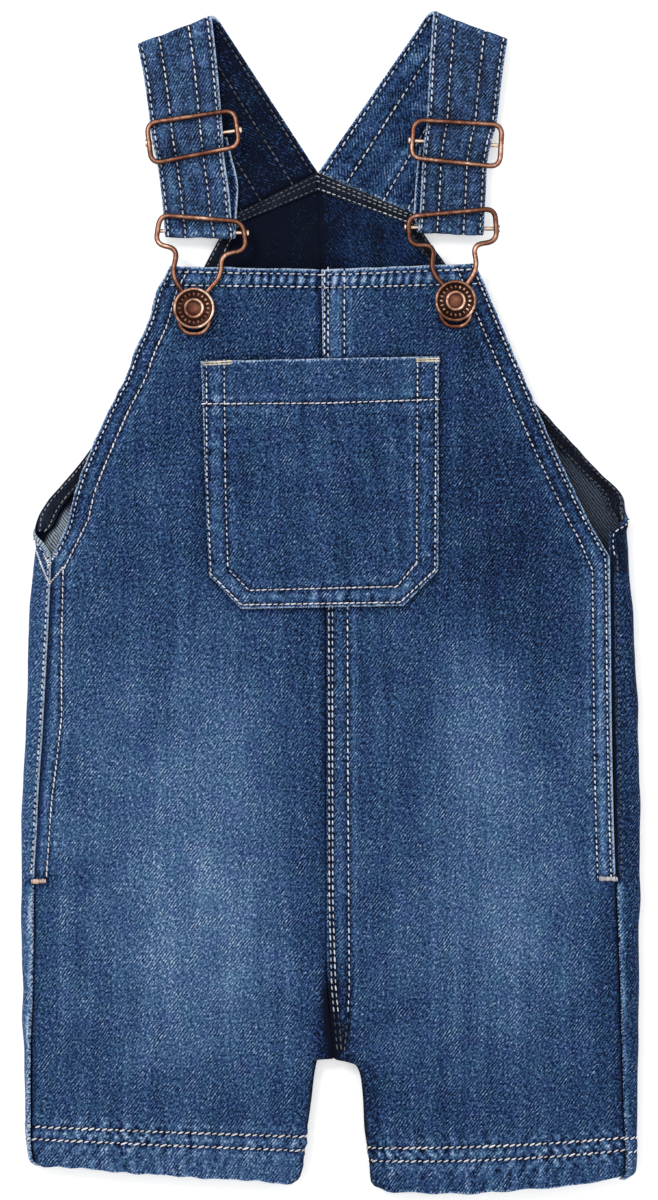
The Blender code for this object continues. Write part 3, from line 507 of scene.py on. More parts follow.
def near(line, x, y):
    """How far points are from a line in plan, and how far along it the nearest place is."""
    best = np.full(np.shape(x), 1e9)
    along = np.zeros(np.shape(x))
    start = 0.0
    for (x0, y0), (x1, y1) in zip(line[:-1], line[1:]):
        run = max(math.hypot(x1 - x0, y1 - y0), 1e-6)
        part = np.clip(((x - x0) * (x1 - x0) + (y - y0) * (y1 - y0)) / run**2, 0, 1)
        off = np.hypot(x - x0 - part * (x1 - x0), y - y0 - part * (y1 - y0))
        closer = off < best
        best = np.where(closer, off, best)
        along = np.where(closer, start + part * run, along)
        start += run
    return best, along


def channel(distance):
    """The groove that a row of stitches pulls into the cloth."""
    return -0.28 * bell(distance, 0.75)


def pucker(distance, along, size, reach, seed):
    """Ripples across a seam, uneven in length, height and spacing, that fade away from it."""
    rng = np.random.default_rng(seed)
    wave = np.zeros(np.shape(along))
    for length, share in ((5.3, 1.0), (3.9, 0.55), (9.7, 0.75)):
        drift = 1.3 * np.sin(along / (length * 2.7) + rng.uniform(*PHASES))
        lean = 0.22 * distance * rng.choice((-1, 1))
        wave += share * np.sin(TURN * (along + lean) / length + drift + rng.uniform(*PHASES))
    patchy = 0.65 + 0.35 * np.sin(along / 17.0 + rng.uniform(*PHASES))
    return size * patchy * wave / 1.4 * bell(distance, reach)


def slashes(distance, along, size, lean, reach, seed):
    """Short slanted ridges that cross a hem where its two layers pull against each other."""
    rng = np.random.default_rng(seed)
    drift = 1.6 * np.sin(along / 11.0 + rng.uniform(*PHASES))
    drift = drift + 0.9 * np.sin(along / 4.3 + rng.uniform(*PHASES))
    wave = np.sin(TURN * (along + lean * distance) / 4.1 + drift)
    patchy = 0.6 + 0.4 * np.sin(along / 13.0 + rng.uniform(*PHASES))
    return size * patchy * wave * bell(distance, reach)


def soft_waves(x, y, size, seed):
    """Gentle unevenness about as long as the size, between -1 and 1."""
    rng = np.random.default_rng(seed)
    total = np.zeros(np.shape(x))
    for _ in range(9):
        turn, phase = rng.uniform(0, TURN, 2)
        wave = size * rng.uniform(0.7, 1.6)
        total += np.sin((x * math.cos(turn) + y * math.sin(turn)) * TURN / wave + phase)
    return total / 3.6


def spots(table, x, y):
    """The sum of soft round patches: middle, half width, half length and strength."""
    total = np.zeros(np.shape(x))
    for spot in table:
        off = ((x - spot.x) / spot.wide) ** 2 + ((y - spot.y) / spot.long) ** 2
        total += spot.tone * np.exp(-off)
    return total


# A piece of cloth as a grid: its middle layer, its normals, how far each point is from the four
# edges, and its place on the flat cut.
Cloth = namedtuple("Cloth", "points normals inner outer start stop flat")


def as_cloth(points, inner, marks, side):
    """A piece of cloth from its rows of points, how far across it they are, and each row's mark."""
    points, inner = np.array(points), np.array(inner)
    outer = inner[:, -1:] - inner
    level = np.repeat(marks[:, None], inner.shape[1], 1)
    start, stop = level - marks[0], marks[-1] - level
    return Cloth(points, grid_normals(points, side), inner, outer, start, stop, points[..., :2])


def lay_out(side, table, place, wraps, pitch, count):
    """The grid of a panel, with rows about a pitch apart and this many places across."""
    along = row_distances(table)
    marks = steps_over(along[-1], round(along[-1] / pitch))
    rows = rows_at(table, along, marks)
    across = [steps_over(row_length(row, wraps), count) for row in rows]
    cloth = as_cloth([place(*pair) for pair in zip(rows, across)], across, marks, side)
    # The two halves reach into the middle seam, so that no light shows through it.
    reach = CROTCH_REACH * smooth_step(-cloth.points[..., 1], 165, 182)
    reach = reach + (MIDDLE_REACH if wraps or side < 0 else 0.0)
    cloth.points[..., 0] -= side * reach * bell(cloth.inner, 1.5)
    return cloth


def waver(cloth, edge, size, wave, seed, above=-1e3):
    """Moves the points near one edge a little in plan, so that the edge isn't a ruled line."""
    inset = getattr(cloth, edge)
    x, y = cloth.points[..., 0], cloth.points[..., 1]
    shift = size * soft_waves(x, y, wave, seed) * bell(inset, 4.0)
    shift *= smooth_step(y, above, above + 8)
    if edge == "outer":
        away = cloth.points[:, -1, :2] - cloth.points[:, -8, :2]
        away /= np.linalg.norm(away, axis=1, keepdims=True)
    else:
        away = np.tile((0.0, 1.0), (len(x), 1))
    cloth.points[..., :2] += shift[..., None] * away[:, None]


def flat_cut(cloth):
    """The area of a grid's cloth, and the width and length of the rectangle that it is cut from."""
    across = cloth.points[:-1, 1:] - cloth.points[:-1, :-1]
    up = cloth.points[1:, :-1] - cloth.points[:-1, :-1]
    area = np.linalg.norm(np.cross(across, up), axis=2).sum() * MM * MM
    width = (cloth.inner + cloth.outer).max() * MM
    length = (cloth.start + cloth.stop).max() * MM
    if min(width, length) < 0.01:
        # A narrow band is cut slanting across a wider rectangle, which has room for its bend.
        plan = cloth.points[..., :2].reshape(-1, 2) * MM
        chord = plan[-1] - plan[0]
        chord /= np.hypot(*chord)
        width = np.ptp(plan @ (-chord[1], chord[0]))
        length = np.ptp(plan @ chord)
    return area, width, max(length, area / width * 1.001)


def shell(name, cloth, thickness, lift, upper, lower, upper_look, lower_look, material):
    """A thin closed shell round a grid, with rounded edges.

    upper and lower are relief on its two faces. Each look holds tone, darkness of the weave and how
    much of the pale wrong side shows; the distance to the nearest edge is added to it. Tone and
    darkness of the weave also carry the painted shade that each piece is given.
    """
    rim = np.minimum(np.minimum(cloth.inner, cloth.outer), np.minimum(cloth.start, cloth.stop))
    rim = np.maximum(rim, 0.0)
    round_off = np.sqrt(1 - (1 - np.clip(rim / (thickness * 0.62), 0, 1)) ** 2)
    half = np.maximum(thickness / 2 * round_off, 0.02)
    top = cloth.points + cloth.normals * (lift + half + upper * round_off)[..., None]
    bottom = cloth.points + cloth.normals * (lift - half - lower * round_off)[..., None]
    rows, columns = rim.shape
    count = rows * columns
    index = np.arange(count).reshape(rows, columns)
    corners = [index[:-1, :-1], index[:-1, 1:], index[1:, 1:], index[1:, :-1]]
    quads = np.stack(corners, -1).reshape(-1, 4)
    edge = np.concatenate([index[0], index[1:, -1], index[-1, -2::-1], index[-2:0:-1, 0]])
    ahead = np.roll(edge, -1)
    sides = np.stack([ahead, edge, edge + count, ahead + count], -1)
    faces = np.concatenate([quads, quads[:, ::-1] + count, sides])
    points = np.concatenate([top.reshape(-1, 3), bottom.reshape(-1, 3)]) * MM
    spread = points[quads]
    facing = np.cross(spread[:, 1] - spread[:, 0], spread[:, 3] - spread[:, 0]).sum(0)
    if facing @ cloth.normals.sum((0, 1)) < 0:
        faces = faces[:, ::-1]
    mesh = bpy.data.meshes.new(name)
    mesh.vertices.add(len(points))
    mesh.vertices.foreach_set("co", points.ravel())
    mesh.loops.add(faces.size)
    mesh.loops.foreach_set("vertex_index", faces.ravel().astype(np.int32))
    mesh.polygons.add(len(faces))
    mesh.polygons.foreach_set("loop_start", np.arange(0, faces.size, 4, dtype=np.int32))
    mesh.update(calc_edges=True)
    flat = np.concatenate([cloth.flat.reshape(-1, 2)] * 2) * MM
    mesh.uv_layers.new(name="cloth").data.foreach_set("uv", flat[faces.ravel()].ravel())
    near_edge = np.clip(rim / 10, 0, 1)
    looks = []
    for tone, dark, pale in (upper_look, lower_look):
        channels = [np.broadcast_to(part, rim.shape) for part in (tone, near_edge, dark, pale)]
        looks.append(np.stack(channels, -1).reshape(-1, 4))
    look = mesh.color_attributes.new("look", "FLOAT_COLOR", "POINT")
    look.data.foreach_set("color", np.concatenate(looks).astype(np.float32).ravel())
    mesh.materials.append(material)
    mesh.shade_smooth()
    return put(name, mesh)


def points_of(piece):
    points = np.empty(len(piece.data.vertices) * 3)
    piece.data.vertices.foreach_get("co", points)
    return points.reshape(-1, 3)


def finder(piece):
    """A way to find the piece's surface straight below a place in plan."""
    corners = np.empty(len(piece.data.loops), np.int32)
    piece.data.loops.foreach_get("vertex_index", corners)
    return BVHTree.FromPolygons(points_of(piece).tolist(), corners.reshape(-1, 4).tolist())


def drop(tree, lines, spacing=0.6, lift=0.06):
    """Lines in plan laid on a piece: runs of points, broken where they miss it or it is steep."""
    runs = []
    for line in lines:
        runs.append([])
        for (x0, y0), (x1, y1) in zip(line[:-1], line[1:]):
            count = max(1, round(math.hypot(x1 - x0, y1 - y0) / spacing))
            for step in range(count):
                x, y = x0 + (x1 - x0) * step / count, y0 + (y1 - y0) * step / count
                start = Vector((x * MM, y * MM, 50 * MM))
                place, normal, _, _ = tree.ray_cast(start, Vector((0, 0, -1)))
                if place is None or abs(normal.z) < 0.25:
                    runs.append([])
                else:
                    runs[-1].append(place + normal * (lift * MM))
    return [run for run in runs if len(run) > 3]


def declare(piece, node, cloth, extras):
    """Ties a finished cloth piece and what is sewn on it to the model."""
    area, width, length = flat_cut(cloth)
    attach(piece, "root")
    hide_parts(node)
    for extra in extras:
        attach(extra, "root")
    print(f"{piece.name}: {len(piece.data.polygons) * 2} triangles, flat {width*1000:.0f} by "
          f"{length*1000:.0f} mm, {area*1e4:.0f} square cm, {len(extras)} sewn on")


print("Relief and tone are ready")

# %% [markdown]
# ## Denim, thread and copper
#
# Denim is a twill: blue warp over white weft, in fine diagonals that rise to the right. Washing
# wears the dye off the raised threads first, so the same cloth runs from navy to pale blue. Every
# denim here shares one weave and differs only in the tone that each piece carries.

# %% Denim, thread and copper
class Nodes:
    """A node tree, made one call at a time."""

    def __init__(self, tree, family):
        self.tree, self.family = tree, family

    def feed(self, socket, value):
        if isinstance(value, bpy.types.NodeSocket):
            self.tree.links.new(value, socket)
        else:
            socket.default_value = value

    def add(self, kind, inputs=None, **settings):
        """A node of the tree's own family, or of the one that the kind names in full."""
        node = self.tree.nodes.new(kind if "Node" in kind else self.family + kind)
        for key, value in settings.items():
            setattr(node, key, value)
        for key, value in (inputs or {}).items():
            self.feed(node.inputs[key], value)
        return node

    def out(self, kind, inputs=None, **settings):
        return self.add(kind, inputs, **settings).outputs[0]

    def math(self, operation, *values, clamp=False):
        inputs = dict(enumerate(values))
        return self.out("ShaderNodeMath", inputs, operation=operation, use_clamp=clamp)

    def times(self, value, factor, plus=0.0, clamp=False):
        return self.math("MULTIPLY_ADD", value, factor, plus, clamp=clamp)

    def sway(self, value, size, onto=0.0, middle=0.5):
        """A value's distance from its middle, scaled and added onto another."""
        return self.times(self.math("SUBTRACT", value, middle), size, onto)


class Material(Nodes):
    """A material's node tree."""

    def __init__(self, name):
        self.material = bpy.data.materials.new(name)
        self.material.use_nodes = True
        super().__init__(self.material.node_tree, "ShaderNode")
        self.inputs = self.tree.nodes["Principled BSDF"].inputs

    def noise(self, place, scale, detail=2.0, roughness=0.5, dimensions="2D"):
        inputs = {"Vector": place, "Scale": scale, "Detail": detail, "Roughness": roughness}
        return self.out("TexNoise", inputs, noise_dimensions=dimensions)

    def solid_noise(self, scale, detail=2.0, roughness=0.5):
        place = self.add("TexCoord").outputs["Object"]
        return self.noise(place, scale, detail, roughness, "3D")

    def blend(self, share, first, second):
        node = self.add("Mix", data_type="RGBA")
        for socket, value in ((0, share), (6, first), (7, second)):
            self.feed(node.inputs[socket], value)
        return node.outputs[2]

    def ramp(self, value, stops):
        node = self.add("ValToRGB", {0: value})
        elements = node.color_ramp.elements
        while len(elements) < len(stops):
            elements.new(0.5)
        for element, (place, colour) in zip(elements, stops):
            element.position = place
            element.color = (*colour, 1.0)
        return node.outputs[0]

    def finish(self, colour, roughness, metallic=0.0, bump=None):
        """The finished material. bump is its strength, its depth in metres and its height."""
        surface = {"Base Color": colour, "Roughness": roughness, "Metallic": metallic}
        surface["Specular IOR Level"] = 0.5 if metallic else 0.12
        if bump:
            inputs = dict(zip(("Strength", "Distance", "Height"), bump))
            surface["Normal"] = self.out("Bump", inputs)
        for name, value in surface.items():
            self.feed(self.inputs[name], value)
        return self.material


INDIGO = (
    (0.0, (0.0010, 0.0024, 0.0100)),
    (0.14, (0.0032, 0.0095, 0.036)),
    (0.34, (0.0145, 0.035, 0.103)),
    (0.52, (0.034, 0.073, 0.172)),
    (0.70, (0.073, 0.140, 0.268)),
    (0.86, (0.170, 0.255, 0.405)),
    (1.0, (0.410, 0.480, 0.600)),
)
# Unfaded cloth, painted with the shade of the armholes, is nearly black.
UNFADED_IN_SHADE = (
    (0.0, (0.0006, 0.0009, 0.0022)),
    (0.35, (0.0045, 0.0062, 0.0132)),
    (0.70, (0.021, 0.029, 0.051)),
    (1.0, (0.130, 0.150, 0.185)),
)
# The wrong side is pale weft, with the dark warp between.
WRONG_SIDE = (
    (0.15, (0.030, 0.042, 0.058)),
    (0.50, (0.210, 0.260, 0.320)),
    (0.85, (0.480, 0.550, 0.630)),
)
# The palest stop is reached on the pale bars and in the painted highlight along each wire.
COPPER = (
    (0.0, (0.010, 0.004, 0.003)),
    (0.4, (0.070, 0.025, 0.017)),
    (0.7, (0.225, 0.087, 0.053)),
    (0.88, (0.520, 0.285, 0.195)),
    (1.0, (0.920, 0.740, 0.580)),
)
TWILL_SLOPE = math.radians(54)
TWILL_PITCH = 1.07


def denim_material(name, contrast=1.0, shades=INDIGO):
    g = Material(name)
    look = g.add("Attribute", attribute_name="look")
    tone, rim, dark = g.add("SeparateColor", {0: look.outputs["Color"]}).outputs
    flat = g.out("UVMap", uv_map="cloth")
    place = g.out("VectorMath", {0: flat, "Scale": 1 / MM}, operation="SCALE")
    # Places measured across the twill's ribs and along them.
    sine, cosine = math.sin(TWILL_SLOPE), math.cos(TWILL_SLOPE)
    across, along = (
        g.add("VectorMath", {0: place, 1: way}, operation="DOT_PRODUCT").outputs["Value"]
        for way in ((sine, -cosine, 0.0), (cosine, sine, 0.0))
    )
    drift = g.noise(place, 0.16, 1.0)
    twill = g.math("SINE", g.times(drift, 7.0, g.math("MULTIPLY", across, TURN / TWILL_PITCH)))
    slanted = g.out("CombineXYZ", {0: across, 1: g.math("MULTIPLY", along, 0.45)})
    stretched = g.out("VectorMath", {0: place, 1: (0.2, 0.011, 1.0)}, operation="MULTIPLY")
    fleck = g.noise(place, 1.1, 3.0, 0.7)
    slub = g.noise(slanted, 1.25, 2.0, 0.6)
    depth = g.times(g.noise(place, 0.13, 1.0), 0.5 * contrast, -0.14 * contrast)
    # Unwashed and shaded cloth shows less of its weave, and blue cloth more of it than faded.
    clear = g.times(dark, -0.45, 1.0, clamp=True)
    clear = g.math("MULTIPLY", clear, g.times(tone, -0.8, 1.42))
    value = g.times(twill, g.math("MULTIPLY", depth, clear), tone)
    speckle = g.sway(slub, 0.95 * contrast, g.sway(fleck, 1.45 * contrast))
    value = g.times(speckle, clear, value)
    value = g.sway(g.noise(stretched, 1.0), 0.22, value)
    value = g.sway(g.noise(place, 0.045), 0.10, value)
    # Rubbed edges: the last millimetre is pale, and broken up where threads stand higher.
    far = g.math("DIVIDE", rim, 0.14, clamp=True)
    worn = g.math("POWER", g.math("SUBTRACT", 1.0, far), 1.4)
    worn = g.math("MULTIPLY", worn, g.times(fleck, 3.0, -0.75))
    value = g.times(worn, g.times(dark, -0.5, 0.75), value)
    # The dye leans a little to violet here and to green there.
    hue = g.times(g.noise(place, 0.11), 0.035, 0.4795)
    dyed = {"Hue": hue, "Saturation": 1.04, "Color": g.ramp(value, shades)}
    weft = g.ramp(g.times(twill, 0.34, fleck), WRONG_SIDE)
    colour = g.blend(look.outputs["Alpha"], g.out("HueSaturation", dyed), weft)
    height = g.times(twill, 0.35, g.math("ADD", fleck, slub))
    return g.finish(colour, g.times(fleck, -0.15, 0.95), bump=(0.55, 0.00022, height))


def thread_material(name, pale, deep):
    """Spun thread: fine twisted strands, a little soiled along its length."""
    g = Material(name)
    strand = g.solid_noise(2600.0)
    mixed = g.times(g.solid_noise(210.0, 1.0), 0.75, g.math("MULTIPLY", strand, 0.35))
    mixed = g.times(g.solid_noise(55.0, 1.0), 0.6, mixed)
    return g.finish(g.ramp(mixed, ((0.60, deep), (1.02, pale))), 0.75, bump=(0.5, 0.00008, strand))


def copper_material(name):
    """Antique copper plate: brown in its hollows, brighter where it is worn, and with a painted
    highlight along the top of each wire.
    """
    g = Material(name)
    rubbed_and_lit = g.add("Attribute", attribute_name="rubbed_and_lit").outputs["Fac"]
    blotch = g.solid_noise(420.0, 3.0, 0.6)
    grain = g.solid_noise(2400.0)
    value = g.sway(blotch, 0.6, rubbed_and_lit)
    value = g.sway(g.solid_noise(75.0, 1.0), 0.9, value, 0.55)
    value = g.sway(grain, 0.3, value)
    colour = g.ramp(value, COPPER)
    return g.finish(colour, g.times(blotch, 0.3, 0.26), 0.92, (0.35, 0.0001, grain))


denim = denim_material("indigo_denim")
facing_denim = denim_material("unfaded_denim", 0.8, UNFADED_IN_SHADE)
beige = thread_material("pale_thread", (0.76, 0.78, 0.83), (0.25, 0.27, 0.32))
pink = thread_material("pinkish_thread", (0.84, 0.82, 0.84), (0.42, 0.40, 0.43))
cream = thread_material("cream_thread", (0.76, 0.69, 0.55), (0.36, 0.31, 0.24))
orange = thread_material("bar_tack_thread", (0.90, 0.70, 0.57), (0.66, 0.44, 0.33))
# Copies of the pale thread painted with shade, half and full, for rows that lie in the garment's
# shadow.
half_shade_thread = thread_material("soiled_thread", (0.42, 0.43, 0.43), (0.14, 0.15, 0.18))
shade_thread = thread_material("shaded_thread", (0.125, 0.135, 0.155), (0.032, 0.036, 0.045))
copper = copper_material("antique_copper")
# The needle hole's material is nearly black: a hole with painted shade round it.
hole = Material("needle_hole")
shade = hole.solid_noise(900.0)
hole = hole.finish(hole.ramp(shade, ((0.3, INDIGO[0][1]), (0.8, INDIGO[1][1]))), 0.95)
print("Materials:", ", ".join(material.name for material in bpy.data.materials))

# %% [markdown]
# ## Stitches
#
# A lockstitch shows as a short raised length of thread between two needle holes. One node tree
# makes every row: it walks along a line, sets a stitch at every other step and a small dark blob
# between them, the needle hole enlarged with painted shade. A bar tack is the same thing with short
# wide stitches set almost on top of each other, which is how a sewing machine makes it.

# %% Stitches
INPUTS = (
    ("Geometry", "Geometry", None),
    ("Pitch", "Float", 0.0019),
    ("Half size", "Vector", (0.0002, 0.0002, 0.0006)),
    ("Unevenness", "Float", 0.18),
    ("Hole size", "Vector", (0.00012, 0.0003, 0.0003)),
    ("Lean", "Float", 0.0),
    ("Seed", "Int", 1),
    ("Thread", "Material", None),
    ("Hole", "Material", None),
)
TURN_TO = "FunctionNodeAlignRotationToVector"


class Group(Nodes):
    """A geometry node tree with its own inputs, which makes plain meshes."""

    def __init__(self, name, inputs):
        super().__init__(bpy.data.node_groups.new(name, "GeometryNodeTree"), "GeometryNode")
        sockets = self.tree.interface
        for label, kind, value in inputs:
            socket = sockets.new_socket(label, in_out="INPUT", socket_type="NodeSocket" + kind)
            if value is not None:
                socket.default_value = value
        sockets.new_socket("Geometry", in_out="OUTPUT", socket_type="NodeSocketGeometry")
        self.given = self.add("NodeGroupInput").outputs

    def placed(self, points, shape, turn, size, chosen=True):
        """Copies of a shape set on the chosen points, as real faces."""
        inputs = {"Points": points, "Selection": chosen, "Instance": shape, "Rotation": turn}
        inputs["Scale"] = size
        return self.out("RealizeInstances", {"Geometry": self.out("InstanceOnPoints", inputs)})

    def made_from(self, name, mesh, values):
        """A piece of what the tree makes from a mesh with these values."""
        piece = put(name, mesh)
        modifier = piece.modifiers.new(name, "NODES")
        modifier.node_group = self.tree
        for item in self.tree.interface.items_tree:
            if item.in_out == "INPUT" and item.name in values:
                modifier[item.identifier] = values[item.name]
        bpy.context.view_layer.update()
        graph = bpy.context.evaluated_depsgraph_get()
        mesh = bpy.data.meshes.new_from_object(piece.evaluated_get(graph))
        piece.modifiers.remove(modifier)
        piece.data = mesh
        return piece


def stitch_group():
    g = Group("stitches_along_a_line", INPUTS)
    given = g.given
    curve = g.out("MeshToCurve", {"Mesh": given["Geometry"]})
    step = g.math("MULTIPLY", given["Pitch"], 0.5)
    walk = g.out("ResampleCurve", {"Curve": curve, "Length": step}, mode="LENGTH")
    odd = g.math("MODULO", g.out("InputIndex"), 2.0)
    even = g.math("SUBTRACT", 1.0, odd)
    # Each stitch lies along the line with its back upward, and leans a little in plan.
    turned = g.out(TURN_TO, {"Vector": g.out("InputTangent")}, axis="Z")
    upright = {"Rotation": turned, "Vector": (0.0, 0.0, 1.0)}
    turned = g.out(TURN_TO, upright, axis="X", pivot_axis="Z")
    lean = {"Axis": (1.0, 0.0, 0.0), "Angle": given["Lean"]}
    lean = g.out("FunctionNodeAxisAngleToRotation", lean)
    lean = {"Rotation": turned, "Rotate By": lean}
    leaning = g.out("FunctionNodeRotateRotation", lean, rotation_space="LOCAL")
    vary = g.add("FunctionNodeRandomValue", data_type="FLOAT")
    low, high = (g.math(way, 1.0, given["Unevenness"]) for way in ("SUBTRACT", "ADD"))
    for socket, value in ((2, low), (3, high), (8, given["Seed"])):
        g.feed(vary.inputs[socket], value)
    joined = g.add("JoinGeometry")
    for rings, chosen, size, finish, turn in (
        (5, even, "Half size", "Thread", leaning), (3, odd, "Hole size", "Hole", turned),
    ):
        shape = g.out("MeshUVSphere", {"Segments": 6, "Rings": rings, "Radius": 1.0})
        size = {0: given[size], "Scale": vary.outputs[1]}
        size = g.out("ShaderNodeVectorMath", size, operation="SCALE")
        real = g.placed(walk, shape, turn, size, chosen)
        smooth = g.out("SetShadeSmooth", {"Geometry": real})
        part = g.out("SetMaterial", {"Geometry": smooth, "Material": given[finish]})
        g.feed(joined.inputs[0], part)
    g.feed(g.add("NodeGroupOutput").inputs[0], joined.outputs[0])
    return g


STITCHES = stitch_group()
# Half sizes of the thread and of the needle hole's dark blob, which takes in painted shade, are
# upward, across and along the row.
Stitch = namedtuple("Stitch", "pitch half hole lean")
PLAIN = Stitch(3.0, (0.26, 0.32, 1.06), (0.20, 0.56, 0.48), 0.07)
SHORT = Stitch(2.5, (0.26, 0.32, 0.82), (0.20, 0.60, 0.44), 0.07)
FINE = Stitch(2.3, (0.20, 0.23, 0.84), (0.15, 0.36, 0.32), 0.05)
HEM = Stitch(2.85, (0.30, 0.36, 1.32), (0.22, 0.88, 0.46), 0.36)
TACK = Stitch(0.52, (0.36, 1.15, 0.2), (0.1, 0.1, 0.1), 0.1)
CLOSE = Stitch(2.5, (0.24, 0.30, 1.14), (0.18, 0.5, 0.3), 0.12)
CROWDED = Stitch(1.0, (0.3, 0.4, 0.5), (0.1, 0.3, 0.2), -0.5)
LONG = Stitch(1.9, (0.42, 0.46, 1.3), (0.1, 0.2, 0.1), 0.0)


def sew(name, runs, kind, thread, seed):
    """A mesh of stitches along runs of points that already lie on the cloth."""
    edges, start = [], 0
    for run in runs:
        edges += [(start + i, start + i + 1) for i in range(len(run) - 1)]
        start += len(run)
    guide = bpy.data.meshes.new(name)
    guide.from_pydata([point for run in runs for point in run], edges, [])
    half, hole_half = (tuple(part * MM for part in sizes) for sizes in (kind.half, kind.hole))
    return STITCHES.made_from(name, guide, {
        "Pitch": kind.pitch * MM, "Half size": half, "Hole size": hole_half, "Lean": kind.lean,
        "Unevenness": 0.22, "Seed": seed, "Thread": thread, "Hole": hole,
    })


def press(rows):
    """What rows of stitches do to cloth: the groove, the ripples beside it and their shade.

    Each row is the distance to it, the place along it, the ripples' size and reach, and a seed.
    """
    groove = ripple = shade = 0.0
    for distance, along, size, reach, seed in rows:
        groove = np.minimum(groove, channel(distance))
        ripple = ripple + pucker(distance, along, size, reach, seed)
        shade = shade + row_shade(distance)
    return groove, ripple, shade


print("One node tree, with inputs", ", ".join(name for name, _, _ in INPUTS[1:]))

# %% [markdown]
# ## Where the cloth is pale, dark and creased
#
# The garment was washed after it was sewn. The thighs rubbed palest. The bib kept its dye, and so
# did the lap down the middle. The hollow at the crotch is painted with shade, nearly black.

# %% Where the cloth is pale, dark and creased
Spot = namedtuple("Spot", "x y wide long tone")
# Soft patches of fading and kept dye, with one of painted shade in the hollow at the crotch.
FADES_AND_SHADE = [Spot(*row) for row in (
    (-58, -130, 40, 80, 0.24), (-46, -150, 22, 34, 0.06), (-58, -50, 42, 40, 0.10),
    (-108, -110, 24, 90, 0.07), (72, -125, 36, 62, 0.23), (60, -46, 24, 34, 0.17),
    (64, 12, 16, 46, -0.12), (86, -12, 14, 50, -0.08), (88, 32, 26, 40, -0.05),
    (0, 70, 80, 70, -0.075), (-50, 116, 12, 14, -0.10), (60, 112, 14, 16, -0.13),
    (1, -100, 12, 80, -0.06), (-12, -50, 7, 70, -0.08), (1.5, -184, 6.0, 25, -0.62),
    (0, -207, 130, 12, -0.04), (0, -238, 130, 8, 0.09), (118, -150, 9, 50, -0.13),
    (78, 66, 34, 46, -0.05), (4, -112, 5, 44, 0.09),
)]
BASE_TONE = 0.368

# Finer folds than the solid has: where each runs, how wide it is and its height or depth.
CREASES = [Fold(*row) for row in (
    (-6, -178, -34, -160, 3.2, -0.5), (10, -182, 40, -168, 3.0, -0.5),
    (8, -168, 30, -148, 4.0, 0.4), (-12, -196, -40, -226, 4.5, 0.45),
    (22, -200, 40, -232, 4.5, -0.45), (-112, -120, -90, -136, 3.4, -0.4),
    (112, -118, 92, -140, 3.2, -0.4), (-62, 118, -50, 84, 3.0, 0.35),
    (-50, 112, -40, 96, 2.6, -0.3), (56, 118, 50, 88, 3.0, 0.35), (74, 66, 58, 22, 4.5, 0.4),
    (-78, 60, -64, 10, 4.5, 0.4), (60, 14, 66, -62, 5.0, 0.5), (-70, -10, -78, -84, 5.5, -0.45),
    (32, -40, 38, -120, 5.0, -0.4), (-38, -66, -44, -140, 5.0, 0.4),
    (88, -150, 94, -210, 5.5, -0.5), (-92, -152, -98, -214, 5.0, -0.45),
)]


def fine_folds(x, y):
    """The finer folds' height at points in plan, and a trace of unevenness."""
    total = 0.16 * soft_waves(x, y, 34, 11) + 0.07 * soft_waves(x, y, 13, 12)
    for fold in CREASES:
        off, along = near(((fold.x0, fold.y0), (fold.x1, fold.y1)), x, y)
        length = math.hypot(fold.x1 - fold.x0, fold.y1 - fold.y0)
        swell = 0.25 + 0.75 * np.sin(math.pi * np.clip(along / length, 0, 1))
        total += fold.height * swell * bell(off, fold.width)
    return total


def band(distance, width, height=0.38):
    """The step up from single cloth to a turned hem of this width."""
    return height * (1 - smooth_step(distance, width - 0.7, width + 0.5))


def row_shade(distance):
    """Painted shade darkens the cloth in a row's groove, and the ridges beside it are worn pale."""
    return 0.12 * bell(np.abs(distance) - 2.6, 1.1) - 0.26 * bell(distance, 1.05)


def line_at(cloth, edge, distance, low=-1e9, high=1e9):
    """A line in plan at a distance from one long edge, where the level lies between two values."""
    places = []
    for row, inset in zip(cloth.points, getattr(cloth, edge)):
        order = np.argsort(inset)
        x, y = (np.interp(distance, inset[order], row[order, k]) for k in (0, 1))
        if low <= y <= high:
            places.append((x, y))
    return places[::4] + places[-1:]


def across_at(cloth, grid, edge, distance, low=0.0, high=0.0):
    """The grid's points along one row, at a distance from the start or the stop of the piece."""
    r = np.argmin(np.abs(getattr(cloth, edge)[:, 0] - distance))
    return list(grid[r, (cloth.inner[r] > low) & (cloth.outer[r] > high)])


print(len(FADES_AND_SHADE), "soft patches and", len(CREASES), "fine folds")

# %% [markdown]
# ## Front panels
#
# Each front is cut in one from the bib to the leg hem. The right one laps over the left down the
# middle in a felled seam with three rows of stitches. A hem is turned at the bib's top, round the
# armhole, down the side opening and at the leg. It is a little thicker there, and puckered.

# %% Front panels
ROW_PITCH = 1.3
POCKET_EDGE = [(row.x_left, row.y_left) for row in POCKET]
POCKET_EDGE += [(row.x_right, row.y_right) for row in POCKET[::-1]]
POCKET_EDGE.append(POCKET_EDGE[0])
HEM_DEPTH = 19.3
